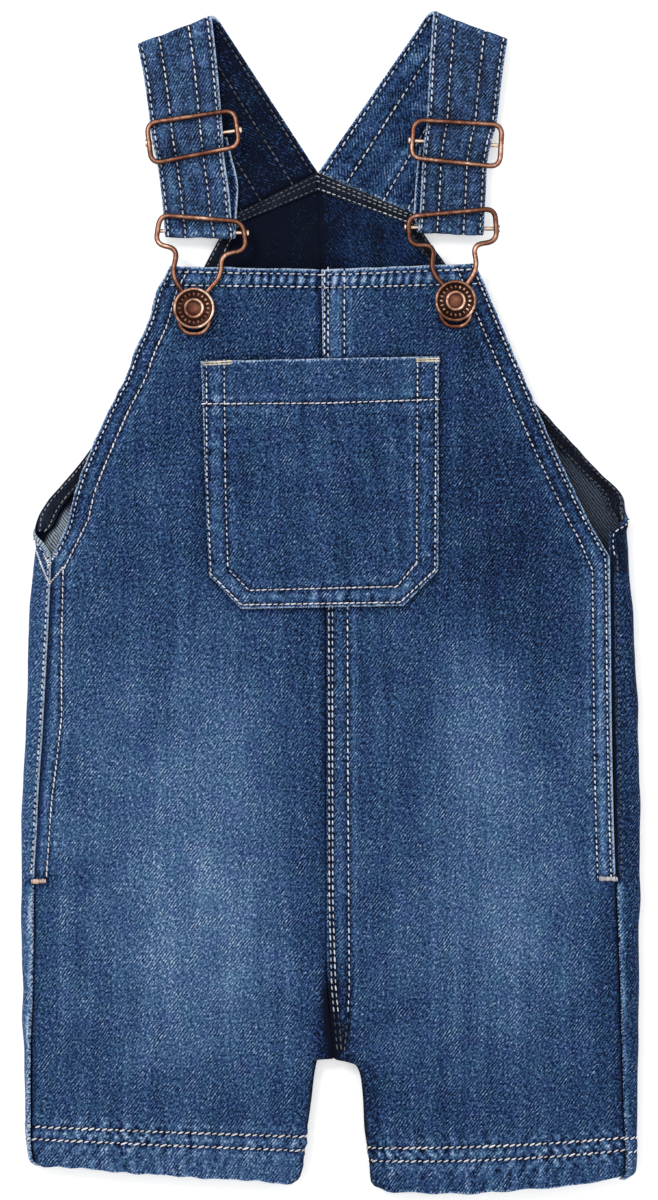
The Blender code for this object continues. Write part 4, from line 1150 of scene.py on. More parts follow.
# How far rows of stitches lie from the leg's edge, the bib's top and the back's middle seam.
HEM_ROWS = (18.3, 12.9)
TOP_ROWS = (2.5, 9.1)
MIDDLE_ROWS = (2.0, 8.0)
BAR_TACK_LEVEL = -116.8
LAP_ROWS = (
    [(-2.6, 139.9), (-2.6, 102.7)],
    [(-1.1, 139.9), (-1.1, 102.7)],
    [(5.7, 139.9), (5.7, 102.7)],
    [(-0.8, -2.3), (-0.7, -66.6), (-0.6, -125.4), (0.4, -161.1), (1.4, -173.2)],
    [(0.7, -2.3), (0.7, -66.6), (0.9, -125.4), (2.0, -161.1), (3.2, -173.2)],
    [(7.0, -2.3), (7.2, -66.6), (7.5, -125.4), (7.8, -161.1), (7.2, -173.2)],
)
CROTCH_ROWS = (
    [(1.5, -174.1), (2.4, -184.2), (2.9, -189.2)],
    [(3.3, -174.1), (4.1, -182.5), (4.4, -187.5)],
    [(7.2, -174.1), (6.2, -183.3), (5.8, -188.4)],
)
LEFT_PLACKET = [
    (-119.3, -114.5), (-117.1, -83.0), (-115.0, -66.6), (-113.0, -48.5), (-113.0, -16.2),
    (-112.3, 13.2),
]
SIDE_TACKS = {-1: [(-125.7, -117.6), (-119.4, -117.2)], 1: [(112.9, -116.3), (120.7, -116.5)]}


def side_bands(side, cloth):
    """Where the side opening is open, where it is sewn shut, and the shade round its bar tack."""
    x, y = cloth.points[..., 0], cloth.points[..., 1]
    above = smooth_step(y, BAR_TACK_LEVEL - 1, BAR_TACK_LEVEL + 1)
    opened = above * (1 - smooth_step(y, 16, 20))
    closed = 1 - smooth_step(y, BAR_TACK_LEVEL - 3, BAR_TACK_LEVEL)
    tack = bell(near(SIDE_TACKS[side], x, y)[0], 1.7, 4)
    return opened, closed, tack


def front_rows(side, cloth):
    """Each row of stitches on one front: its line in plan, its kind, its thread and its puckers."""
    low = BAR_TACK_LEVEL + 1
    if side < 0:
        armhole = line_at(cloth, "outer", 8.6, 34)
        rows = [(line_at(cloth, "outer", 1.9, 20), SHORT, beige, 0.16)]
        rows.append((LEFT_PLACKET + armhole, CLOSE, pink, 0.20))
    else:
        armhole = line_at(cloth, "outer", 8.6, 26)
        rows = [(line_at(cloth, "outer", 1.9, low), SHORT, beige, 0.16)]
        rows.append((line_at(cloth, "outer", 7.5, low, 14) + armhole, SHORT, beige, 0.20))
    plan = cloth.points[..., :2]
    for depth, size in zip(TOP_ROWS, (0.18, 0.26)):
        rows.append((across_at(cloth, plan, "stop", depth, 0.3, 1.6)[::3], PLAIN, beige, size))
    for depth in HEM_ROWS:
        rows.append((across_at(cloth, plan, "start", depth)[::3], HEM, pink, 0.32))
    if side > 0:
        rows += [(line, PLAIN, beige, 0.13) for line in LAP_ROWS]
        rows += [(line, PLAIN, shade_thread, 0.13) for line in CROTCH_ROWS]
    return rows


def front_shell(side):
    table = front_table(side)
    cloth = lay_out(side, table, lambda row, at: front_row(side, row, at), False, ROW_PITCH, 98)
    waver(cloth, "start", 0.35, 11, 141 + side)
    waver(cloth, "stop", 0.15, 10, 151 + side)
    waver(cloth, "outer", 0.25, 9, 161 + side, 28)
    x, y = cloth.points[..., 0], cloth.points[..., 1]
    opened, closed, tack = side_bands(side, cloth)
    placket_width = 9.5 if side > 0 else 6.0
    side_hem = band(cloth.outer, np.where(y > 24, 9.7, placket_width)) * (1 - closed)
    lift = np.maximum.reduce([side_hem, band(cloth.stop, 10.2), band(cloth.start, HEM_DEPTH)])
    rows = front_rows(side, cloth)
    groove, ripple, shaded = press(
        (*near(line, x, y), size, 6.5 if kind is HEM else 4.2, 40 + number * 3 + side)
        for number, (line, kind, _, size) in enumerate(rows)
    )
    tone = BASE_TONE + spots(FADES_AND_SHADE, x, y) + 0.02 * soft_waves(x, y, 30, 21 + side) + shaded
    # The hem's own ripples run to its edge, and it is rubbed pale where they stand up.
    ripple += pucker(cloth.start, x, 0.28, 12.0, 70 + side)
    # Down each hem the cloth is roped: slanted ridges, where its two layers pull unevenly.
    rope = pucker(cloth.start - 13.0, x - 0.8 * cloth.start, 0.34, 9.0, 77 + side)
    crossing = slashes(cloth.start - 15.6, x, 0.50, 0.8, 6.0, 78 + side)
    crossing += slashes(cloth.stop - 5.8, x, 0.55, 0.15, 4.6, 79 + side)
    ripple = np.clip(ripple + rope + crossing, -0.7, 0.7)
    folds = fine_folds(x, y) * smooth_step(np.minimum(cloth.inner, cloth.outer), 0.5, 8)
    tone += 0.55 * ripple + 0.25 * crossing + 0.10 * folds + 0.05 * (lift > 0.2)
    # Painted shade darkens the cloth just below the bib's turned hem.
    tone -= 0.06 * bell(cloth.stop - 12.5, 2.5)
    tone += 0.26 * bell(cloth.stop, 1.5) - 0.01 * bell(cloth.stop - 5.8, 2.2)
    tone -= 0.03 * bell(cloth.start - 15.6, 2.0) + 0.04 * (side > 0) * (cloth.start < 18)
    # Round the armholes the turned edge has rubbed almost white.
    tone += 0.32 * bell(cloth.outer, 1.4) * smooth_step(y, 18, 26)
    tone -= 0.15 * band(cloth.outer, 8.0, 1.0) * smooth_step(y, 18, 40)
    # At the crotch both edges lie deep in the shadow of the fold.
    deep = bell(cloth.inner, 2.0, 4) * (1 - smooth_step(y, -172, -150))
    tone -= 0.3 * deep
    if side > 0:
        # The lap's raised edge is pale, and the step at its other side is dark.
        tone += 0.06 * bell(cloth.inner, 1.1) * smooth_step(y, -165, -135)
        tone += 0.14 * (1 - smooth_step(cloth.inner, 10, 13)) * smooth_step(y, 60, 100)
        tone += 0.08 * bell(cloth.inner - 11.0, 1.5) * smooth_step(y, -165, -135)
        tone -= 0.09 * (1 - smooth_step(cloth.inner, 7, 9)) * (1 - smooth_step(y, 0, 60))
        # Painted shade darkens the lap's very edge low down, where it stands over the left front.
        tone -= 0.35 * bell(cloth.inner, 0.5) * (1 - smooth_step(y, 0, 20))
        tone += 0.30 * bell(cloth.outer, 1.3) * opened
        tone += 0.12 * band(cloth.outer, 7.5) * opened * (1 - smooth_step(y, -50, 0))
        shade = 0.6 * bell(cloth.inner, 0.6) * (1 - smooth_step(y, 0, 20))
    else:
        # Painted shadow of the lap on the left front, beside the middle seam.
        lap_shadow = 0.12 * bell(cloth.inner, 2.6) + 0.22 * bell(cloth.inner, 1.2)
        tone -= lap_shadow * (0.5 + 0.5 * smooth_step(y, -125, -70))
        # The front's edge lies in the shadow of the back's, down the side opening.
        shade = np.maximum(bell(cloth.outer, 1.5, 4) * opened, bell(cloth.inner, 1.2))
        tone -= 0.30 * bell(cloth.outer, 1.6, 4) * opened
    # Painted shadow darkens the cloth along the pocket's edge.
    tone -= 0.18 * bell(near(POCKET_EDGE, x, y)[0], 1.8)
    # Below the side opening the seam is a soft valley, darkened with painted shade, as is the cloth
    # round the bar tack.
    valley = bell(cloth.outer, 1.1) * closed
    tone -= 0.38 * valley + 0.3 * tack
    shade = np.maximum.reduce([shade, valley, tack, deep])
    upper = lift + ripple + groove + folds - 0.15 * tack
    name = "front_" + WORDS[side]
    wrong_side = (0.3 - 0.5 * deep, 0.2 + 1.3 * deep, 0.85 * (1 - deep))
    looks = (tone, 1.5 * shade, 0.0), wrong_side
    piece = shell(name, cloth, CLOTH, 0.0, upper, 0.25 * lift, *looks, denim)
    tree = finder(piece)
    sewn = []
    for label, kinds, thread in (
        ("topstitching", PLAIN, beige), ("armhole_stitching", SHORT, beige),
        ("opening_stitching", CLOSE, pink), ("hem_stitching", HEM, pink),
        ("crotch_stitching", PLAIN, shade_thread),
    ):
        chosen = [line for line, kind, colour, _ in rows if kind is kinds and colour is thread]
        if chosen:
            sewn.append(sew(f"{name}_{label}", drop(tree, chosen), kinds, thread, 5 + side))
    return piece, cloth, tree, sewn


fronts = {side: front_shell(side) for side in (-1, 1)}
for side, (piece, cloth, tree, sewn) in fronts.items():
    word = WORDS[side]
    declare(piece, "front_panel_" + word, cloth, sewn)

# %% [markdown]
# ## Back panels
#
# Each back lies flat on the table and comes forward round the side fold. Its wrong side shows in
# the neck and the armholes. Only a narrow strip of its right side shows from above, beyond the side
# seam. The underside has the same hems, a seam down the middle and soft creases.

# %% Back panels
def faces_of(piece, shape):
    """The two faces of a shell as grids of points, in metres."""
    return points_of(piece).reshape(2, *shape, 3)


def line_on(cloth, face, rows, edge, distance):
    """A line on a face, at a distance from a long edge that may differ from row to row."""
    places = []
    for r, off in zip(rows, np.broadcast_to(distance, len(rows))):
        inset = getattr(cloth, edge)[r]
        order = np.argsort(inset)
        column = np.interp(off, inset[order], order.astype(float))
        low = int(column)
        part = column - low
        first, second = face[r, low], face[r, min(low + 1, face.shape[1] - 1)]
        places.append(Vector(first * (1 - part) + second * part))
    return places


def along_edge(cloth, face, edge, distance, low, high=1e3):
    """A line on a face beside a long edge, where the outer edge is between two levels."""
    level = cloth.points[:, -1, 1]
    return line_on(cloth, face, np.flatnonzero((low <= level) & (level <= high)), edge, distance)


PLACKET_ROW = {-1: (1.3, beige), 1: (2.7, shade_thread)}


def back_shell(side):
    cloth = lay_out(side, back_table(side), back_row, True, 1.45, 104)
    flat = np.stack([side * (MIDDLE_ROWS[0] - cloth.inner), cloth.points[..., 1]], -1)
    cloth = cloth._replace(flat=flat)
    waver(cloth, "start", 0.35, 11, 171 + side)
    waver(cloth, "outer", 0.22, 9, 181 + side, 34)
    x, y = cloth.points[..., 0], cloth.points[..., 1]
    opened, closed, tack = side_bands(side, cloth)
    round_fold = cloth.points[..., 2] > 2.2
    edge_hem = band(cloth.outer, 6.0, 0.25) * (1 - closed)
    lift = np.maximum(edge_hem, band(cloth.start, HEM_DEPTH, 0.3))
    groove, ripple, _ = press(
        (cloth.start - depth, cloth.inner, 0.22, 7.0, 90 + number + side)
        for number, depth in enumerate(HEM_ROWS)
    )
    middle_groove, middle_ripple, _ = press(
        (cloth.inner - depth, y, 0.1, 6.0, 96 + number + side)
        for number, depth in enumerate(MIDDLE_ROWS)
    )
    above = smooth_step(y, -186, -180)
    groove = np.minimum(groove, middle_groove * above)
    ripple = ripple + pucker(cloth.start, cloth.inner, 0.2, 12.0, 94 + side)
    ripple = ripple + middle_ripple * above
    ripple = ripple + pucker(cloth.outer - 2.0, y, 0.14, 5.0, 99 + side) * (1 - closed)
    tone = BASE_TONE + 0.3 * spots(FADES_AND_SHADE[:6], x, y) + 0.02 * soft_waves(x, y, 30, 31 + side)
    tone += 0.45 * ripple + 0.1 * band(cloth.start, HEM_DEPTH, 1.0)
    # Sewn shut, the seam's edge on this side stands up as a soft pale ridge of uneven height, with
    # painted shade in the seam right at its edge.
    uneven = 0.75 + 0.25 * soft_waves(x, y, 16, 36)
    ridge = bell(cloth.outer - 1.5, 0.9) * closed * uneven
    tone += 0.42 * ridge - 0.35 * bell(cloth.outer, 0.6) * closed
    if side < 0:
        tone += 0.26 * bell(cloth.outer, 1.0) * opened
        shade = np.zeros(x.shape)
    else:
        # Down the open right side the edge drops into a gap beside the front's edge, darkened with
        # painted shadow.
        shade = (1 - smooth_step(cloth.outer, 0.8, 1.6)) * opened
        tone -= 0.45 * shade
    # Painted light and shade on the round side folds: lighter on the left, darker on the right.
    painted_fold_light = 0.05 * smooth_step(-side * x, 0, 1) + (0.10 if side < 0 else -0.12)
    tone += painted_fold_light * round_fold
    # Painted shade round the bar tack.
    tone -= 0.3 * tack
    # At the foot of the left armhole the hem rolls over and shows its pale wrong side.
    rolled = (1 - smooth_step(cloth.outer, 1.5, 2.3)) * smooth_step(y, 17.5, 19.5)
    rolled = rolled * (1 - smooth_step(y, 32, 36)) * (side < 0)
    # The face on the table may not bulge below it, so its relief only goes inward.
    on_table = 1 - smooth_step(cloth.points[..., 2], CLOTH / 2 + 0.05, CLOTH / 2 + 1.5)
    folds = 0.22 * soft_waves(x, y, 26, 41 + side)
    outside = (lift + ripple + groove + folds + 0.25 * ridge - 0.45 * shade) * (1 - on_table)
    outside += on_table * (groove + np.minimum(ripple + folds - 0.3, 0) * 0.5)
    outside *= smooth_step(np.minimum(cloth.stop, cloth.outer), 0.2, 1.5)
    # The inside of the back is painted with shade: darkest at the left, lighter to the right of the
    # middle, and darker again near the right armhole.
    inside_tone = -0.26 + 0.04 * soft_waves(x, y, 22, 51) + 0.42 * smooth_step(x, -20, 15)
    # The armhole's shaded corner shows the ribs of the wrong side, with a border of painted shade
    # round them.
    if side < 0:
        border = 1 - smooth_step(cloth.outer, 9.2, 10.6)
        ribs = 0.95 * (1 - smooth_step(y, 34, 42)) * (1 - border)
        inside_tone = inside_tone - 0.25 * border
    else:
        ribs = 0.13 * (1 - smooth_step(y, 62, 84))
        inside_tone = inside_tone + 0.06 * soft_waves(x, y, 13, 52) * smooth_step(y, 90, 110)
        inside_tone = inside_tone - 0.22 * smooth_step(x, 74, 92)
    # Painted shade along the middle seam.
    seam = bell(cloth.inner, 1.5)
    if side < 0:
        # The left half of the neck is in shade up to its very edge.
        seam = np.maximum(seam, bell(cloth.stop, 1.3))
    name = "back_" + WORDS[side]
    inner_face = 0.25 * lift + 0.1 * soft_waves(x, y, 24, 61)
    if side > 0:
        # The turned corner at the foot of the right armhole is in shade too.
        corner = (1 - smooth_step(cloth.outer, 6.5, 8.5)) * smooth_step(y, 9, 16)
        tone = tone - 0.22 * corner
        shade = np.maximum(shade, 0.5 * corner)
    shade = 1.5 * np.maximum.reduce([shade, tack, seam])
    tone = tone + 0.2 * rolled - 0.3 * seam
    dark = (0.85 if side < 0 else 0.75) + 0.75 * seam
    looks = (inside_tone - 0.1 * seam, dark, ribs), (tone, shade, 0.9 * rolled)
    piece = shell(name, cloth, CLOTH, 0.0, inner_face, outside, *looks, denim)
    face = faces_of(piece, x.shape)[1]
    armhole_foot = 20.0
    distance, thread = PLACKET_ROW[side]
    tight = 2.9 if side < 0 else 1.8
    seams = (
        ("topstitching", SHORT, beige, (
            *(along_edge(cloth, face, "inner", depth, -178) for depth in MIDDLE_ROWS),
            along_edge(cloth, face, "outer", tight, armhole_foot, 36),
            along_edge(cloth, face, "outer", 1.8, 36.5),
            along_edge(cloth, face, "outer", 8.2, armhole_foot + 16),
            *(across_at(cloth, face, "stop", depth, 0.3, 0.3) for depth in (1.6, 7.6)),
        )),
        ("hem_stitching", HEM, pink, (
            *(across_at(cloth, face, "start", depth, 0.3, 0.3) for depth in HEM_ROWS),
        )),
        ("placket_stitching", SHORT, thread, (
            along_edge(cloth, face, "outer", distance, BAR_TACK_LEVEL + 2, armhole_foot),
        )),
    )
    sewn = [
        sew(f"{name}_{label}", [line for line in lines if len(line) > 3], kind, colour, 15 + side)
        for label, kind, colour, lines in seams
    ]
    return piece, cloth, sewn


backs = {side: back_shell(side) for side in (-1, 1)}
for side, (piece, cloth, sewn) in backs.items():
    declare(piece, "back_panel_" + WORDS[side], cloth, sewn)

# %% [markdown]
# ## Facings
#
# A shaped band of unfaded denim finishes the inside of the neck and the armholes. It is what shows
# above the bib and beside it, painted with shade to nearly black, with its own rows of stitches in
# darker light.

# %% Facings
def facing_shell(side, name, marks, across):
    """One facing on the inside of its back panel, and its upper face."""
    table = back_table(side)
    rows = rows_at(table, row_distances(table), marks)
    places = [across(row_length(row, True)) for row in rows]
    points = [back_row(row, at) for row, at in zip(rows, places)]
    cloth = as_cloth(points, [at - at[0] for at in places], marks, side)
    cloth = cloth._replace(flat=np.stack([cloth.inner, cloth.start + marks[0]], -1))
    x, y = cloth.points[..., 0], cloth.points[..., 1]
    far_left = smooth_step(-x, 70, 90)
    tone = 0.36 - 0.09 * smooth_step(x, 0, 60) + 0.05 * soft_waves(x, y, 12, 81)
    tone = tone + 0.12 * far_left + 0.06 * soft_waves(x, y, 5, 82) * far_left
    relief = 0.05 * soft_waves(x, y, 9, 71)
    look = (tone, 1.4 - 1.0 * smooth_step(x, -5, 15), 0.0)
    lift = CLOTH / 2 + GAP + FACING / 2
    piece = shell(name, cloth, FACING, lift, relief, 0 * relief, look, look, facing_denim)
    return piece, cloth, faces_of(piece, x.shape)[0]


for side in (-1, 1):
    word = WORDS[side]
    along = row_distances(back_table(side))
    foot = along[len(BODY[side]) + FACING_FOOT_ROW[side]]
    marks = foot + steps_over(along[-2] - GAP - foot, 110)
    piece, cloth, face = facing_shell(
        side, "armhole_band_" + word, marks,
        lambda length: length - 8.0 + steps_over(8.0 - GAP, 7),
    )
    lines = [line_on(cloth, face, range(3, len(face) - 2), "outer", d) for d in (1.2, 6.2)]
    sewn = sew("armhole_band_stitching_" + word, lines, FINE, half_shade_thread if side < 0 else shade_thread, 25 + side)
    declare(piece, "armhole_facing_" + word, cloth, [sewn])
    marks = along[-2] + steps_over(along[-1] - GAP - along[-2], 8)
    piece, cloth, face = facing_shell(
        side, "neck_band_" + word, marks, lambda length: steps_over(length - GAP, 32)
    )
    upper = [across_at(cloth, face, "stop", distance, 0.1, 0.3) for distance in (1.2, 3.3)]
    lower = [across_at(cloth, face, "start", 1.0, 0.1, 0.3)]
    sewn = [
        sew("neck_band_upper_rows_" + word, upper, FINE, shade_thread if side < 0 else half_shade_thread, 27 + side),
        sew("neck_band_lower_row_" + word, lower, FINE, shade_thread if side < 0 else beige, 29 + side),
    ]
    declare(piece, "neck_facing_" + word, cloth, sewn)

# %% [markdown]
# ## Chest pocket
#
# The pocket is a single patch with a deep turned hem at its mouth. Two rows of stitches hold its
# sides and its base, with the lower corners cut off, and a thick bar tack holds each top corner.

# %% Chest pocket
POCKET_ROWS = (
    [(-52.1, 101.4), (-51.9, 51.0), (-50.2, 11.5), (-37.4, -1.4),
     (29.1, -0.3), (43.6, 13.2), (43.9, 51.0), (44.1, 102.3)],
    [(-44.7, 101.4), (-44.2, 51.0), (-43.1, 13.7), (-34.3, 4.7),
     (27.7, 6.3), (36.0, 16.2), (36.2, 51.0), (36.4, 102.3)],
)
POCKET_HEM_ROW = [(-53.8, 82.9), (-4.5, 83.1), (45.3, 84.7)]
POCKET_TACKS = (
    [(-52.8, 100.1), (-42.3, 100.7)],
    [(-53.4, 99.2), (-42.3, 99.7)],
    [(35.6, 101.6), (44.9, 101.8)],
    [(35.6, 100.7), (44.9, 100.8)],
)


def pocket_shell():
    left = distances_along([row.x_left for row in POCKET], [row.y_left for row in POCKET])
    marks = steps_over(left[-1], 84)
    columns = [np.interp(marks, left, column) for column in np.array(POCKET).T]
    points, inner = [], []
    for y_left, x_left, y_right, x_right in zip(*columns):
        width = x_right - x_left
        part = steps_over(width, 76) / width
        x, y = x_left + width * part, y_left + (y_right - y_left) * part
        points.append(np.column_stack([x, y, front_height(x, y) + pocket_bridge(x)]))
        inner.append(part * width)
    cloth = as_cloth(points, inner, marks, -1)
    inner, outer = cloth.inner, cloth.outer
    x, y = cloth.points[..., 0], cloth.points[..., 1]
    border = near(POCKET_ROWS[1], x, y)[0]
    outside = np.minimum.reduce([inner, outer, cloth.stop]) < 9.4
    hem = band(cloth.start, 18.2, 0.4)
    lift = np.maximum(hem, 0.34 * outside * smooth_step(border, 0.2, 1.4))
    tone = BASE_TONE - 0.02 + 0.03 * soft_waves(x, y, 24, 85) + 0.03 * (cloth.start < 18)
    groove, ripple, shaded = press(
        (*near(line, x, y), 0.18, 4.2, 100 + number)
        for number, line in enumerate((*POCKET_ROWS, POCKET_HEM_ROW))
    )
    tone += shaded
    ripple += pucker(np.maximum(cloth.stop - 2, 0), x, 0.25, 10.0, 107)
    tone += 0.14 * bell(cloth.start, 1.2)
    folds = 0.25 * soft_waves(x, y, 30, 86) * smooth_step(np.minimum(inner, outer), 2, 14)
    worn = 0.06 * (1 - smooth_step(x, -40, -30)) + 0.08 * (1 - smooth_step(y, 8, 16)) - 0.06
    tone += 0.75 * ripple + 0.06 * folds + worn * outside * smooth_step(border, 0.2, 1.4)
    tone += 0.16 * bell(np.minimum(cloth.stop, outer), 1.3)
    tone += 0.04 * soft_waves(x, y, 9, 87) + 0.09 * soft_waves(x, y, 5, 88) * outside
    upper = lift + ripple + groove + folds * 0.8 + 0.1
    lift_off = CLOTH / 2 + GAP + POCKET_CLOTH / 2 + 0.25
    looks = (tone, 0.0, 0.0), (tone, 0.0, 0.5)
    piece = shell("chest_pocket", cloth, POCKET_CLOTH, lift_off, upper, 0 * upper, *looks, denim)
    tree = finder(piece)
    sides = [part for line in POCKET_ROWS for part in (line[:3], line[5:])]
    base = [line[2:6] for line in POCKET_ROWS]
    tacks = drop(tree, POCKET_TACKS, 0.4, 0.15)
    sewn = [
        sew("pocket_topstitching", drop(tree, sides), SHORT, beige, 31),
        sew("pocket_base_stitching", drop(tree, base), CLOSE, pink, 34),
        sew("pocket_hem_stitching", drop(tree, [POCKET_HEM_ROW], lift=0.1), CLOSE, pink, 32),
        sew("pocket_bar_tacks", tacks, LONG, cream, 33),
    ]
    return piece, cloth, sewn


pocket, pocket_cloth, pocket_sewn = pocket_shell()
declare(pocket, "pocket", pocket_cloth, pocket_sewn)

# %% [markdown]
# ## Bar tacks at the side openings
#
# A bar tack, in orange thread on the left and in pinkish thread on the right, stops each side
# opening from tearing further. At the foot of the left armhole the rows of the front and of the
# back cross in a V.

# %% Bar tacks at the side openings
ARMHOLE_V = (
    [(-124.0, 22.5), (-121.3, 14.9), (-118.1, 7.3), (-112.2, 14.5)],
    [(-120.6, 20.4), (-118.3, 14.9), (-115.0, 20.8)],
)
for side in (-1, 1):
    trees = (fronts[side][2], finder(backs[side][0]))
    runs = [run for tree in trees for run in drop(tree, [SIDE_TACKS[side]], 0.35, 0.2)]
    tacks = sew("side_bar_tack_" + WORDS[side], runs, TACK, orange if side < 0 else pink, 41)
    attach(tacks, "root")
    if side < 0:
        runs = [run for tree in trees for run in drop(tree, ARMHOLE_V, 0.5, 0.1)]
        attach(sew("armhole_v_stitching", runs, CROWDED, pink, 42), "root")
    print(tacks.name, "has", len(tacks.data.polygons), "faces")

# %% [markdown]
# ## Straps
#
# Each strap is one band of denim, doubled and turned inside out, then stitched down both edges. It
# leaves the back neck, folds over at the shoulder, goes under the slider's frame and over its bar,
# round the bar of the hook, and back up beneath itself to the slider.

# %% Straps
STRAP_ROWS = (0.05, 0.29, 0.69, 0.94)
STRAP_PITCH = 1.4


def strap_path(rows):
    """A strap part's rows, close together along a smooth path."""
    middles = np.array([[(r.x_left + r.x_right) / 2, (r.y_left + r.y_right) / 2] for r in rows])
    along = distances_along(middles[:, 0], middles[:, 1])
    wanted = np.linspace(0, along[-1], round(along[-1] / STRAP_PITCH) + 1)
    if len(rows) == 2:
        part = (wanted / along[-1])[:, None]
        return [Strap(*row) for row in np.array(rows[0]) * (1 - part) + np.array(rows[1]) * part]
    return rows_at(rows, along, wanted)


def strap_shell(side):
    back = strap_path(STRAP_BACK[side])
    front = strap_path(STRAP_FRONT[side])
    returning = strap_path(STRAP_RETURN[side])
    over = strap_turn(back[-1], front[0], away_from(front[0], INSIDE_SHOULDER))
    under = strap_turn(front[-1], returning[0], away_from(front[-1], INSIDE_LOOP))
    parts = [back, over, front, under, returning]
    kinds = np.repeat([0, 1, 2, 3, 4], [len(part) for part in parts])
    rows = [row for part in parts for row in part]
    # A few close rows at both ends let the rounded ends form.
    first, last = np.array(rows[:2]), np.array(rows[-2:])
    ends = np.array([0.06, 0.2, 0.5])
    starting = [Strap(*(first[0] + (first[1] - first[0]) * part)) for part in ends]
    stopping = [Strap(*(last[1] + (last[0] - last[1]) * part)) for part in ends[::-1]]
    rows = rows[:1] + starting + rows[1:-1] + stopping + rows[-1:]
    kinds = np.concatenate([[0] * 3, kinds, [4] * 3])
    points, inner = [], []
    for row in rows:
        width = math.hypot(row.x_right - row.x_left, row.y_right - row.y_left)
        across = steps_over(width, 26)
        part = (across / width)[:, None]
        left = np.array([row.x_left, row.y_left, row.z])
        right = np.array([row.x_right, row.y_right, row.z])
        points.append(left * (1 - part) + right * part)
        inner.append(across)
    points = np.array(points)
    middle = points.mean(axis=1)
    along = np.concatenate([[0], np.cumsum(np.linalg.norm(np.diff(middle, axis=0), axis=1))])
    # Its end reaches the neck's edge, so that no light shows through the seam.
    down = (middle[0] - middle[8]) / np.linalg.norm(middle[0] - middle[8])
    points += 0.5 * bell(along, 1.5)[:, None, None] * down
    cloth = as_cloth(points, inner, along, 1)
    return cloth._replace(flat=np.stack([cloth.inner, -cloth.start], -1)), kinds


def strap_piece(side):
    cloth, kinds = strap_shell(side)
    width = (cloth.inner + cloth.outer)[:, :1]
    share = cloth.inner / width
    along = cloth.start
    groove, ripple, shaded = press(
        (np.abs(share - fraction) * width, along, 0.15, 4.0, 130 + number + side)
        for number, fraction in enumerate(STRAP_ROWS)
    )
    tone = BASE_TONE - (0.11 if side > 0 else 0.10) + shaded
    for size, wave, seed in ((0.08, 18, 121), (0.09, 7, 125), (0.06, 4, 128)):
        tone = tone + size * soft_waves(along, cloth.inner, wave, seed + side)
    # It is thick at its turned-in edges and hollow between the inner rows of stitches.
    plump = 0.12 * np.cos(TURN * share) + 0.1 * soft_waves(along, cloth.inner * 2, 18, 140 + side)
    kind = np.repeat(kinds[:, None], along.shape[1], 1)
    behind = kind == 0
    # Painted shade darkens the left strap where it runs behind the shoulder fold; the right one is
    # a little paler there.
    tone = tone + 0.5 * ripple - np.where(behind, 0.34 if side < 0 else -0.09, 0)
    tone = tone - np.where(kind == 4, 0.14, 0)
    tone = tone + 0.10 * ((kind == 1) | (kind == 3))
    # Both edges rub pale, most of all the one towards the neck.
    neckward = cloth.outer if side < 0 else cloth.inner
    tone = tone + (0.34 * bell(neckward, 1.2) + 0.05 * (side < 0)) * ~behind
    tone = tone + 0.30 * bell(np.minimum(cloth.inner, cloth.outer), 1.1) * (kind == 4)
    on_table = smooth_step(cloth.points[..., 2], STRAP / 2 + 0.05, STRAP / 2 + 1.2)
    outside = (groove + ripple + plump) * on_table + groove * (1 - on_table)
    inside = groove + 0.5 * ripple
    # Where it is sewn to the left of the neck, its end lies in shade.
    root = bell(cloth.start, 2.2) * (side < 0)
    under = (tone - 0.05 - 0.2 * root, 0.2 * behind + 1.3 * root, 0.0)
    looks = under, (tone - 0.2 * root, 1.5 * root, 0.03)
    name = "shoulder_strap_" + WORDS[side]
    piece = shell(name, cloth, STRAP, 0.0, inside, outside, *looks, denim)
    upper, lower = faces_of(piece, along.shape)
    sewn = []
    for label, face, chosen, thread in (
        ("_stitching", lower, kinds < 4, beige),
        ("_shaded_stitching", upper, kinds == 0, shade_thread if side < 0 else beige),
    ):
        rows = np.flatnonzero(chosen)[2:]
        lines = [line_on(cloth, face, rows, "inner", part * width[rows, 0]) for part in STRAP_ROWS]
        sewn.append(sew(name + label, lines, PLAIN, thread, 35 + side))
    return piece, cloth, sewn


for side in (-1, 1):
    piece, cloth, sewn = strap_piece(side)
    word = WORDS[side]
    declare(piece, "strap_" + word, cloth, sewn)

# %% [markdown]
# ## Sliders, hooks and buttons
#
# These are steel wire, bent and butted, with a collared bar pressed on, and plated in antique
# copper. The plate is brown in the hollows and rubs bright on every edge, and each wire is given a
# painted highlight along its top. The button is pressed from sheet and riveted through the bib. A
# ring of plain beads fills the band round its middle.

# %% Sliders, hooks and buttons
AROUND = 14


def ring_faces(rings, around, closed=False):
    """The quads between rings of points, and back to the first ring if they close."""
    faces = []
    for i in range(rings if closed else rings - 1):
        low, high = i * around, (i + 1) % rings * around
        for k in range(around):
            n = (k + 1) % around
            faces.append((low + k, low + n, high + n, high + k))
    return faces


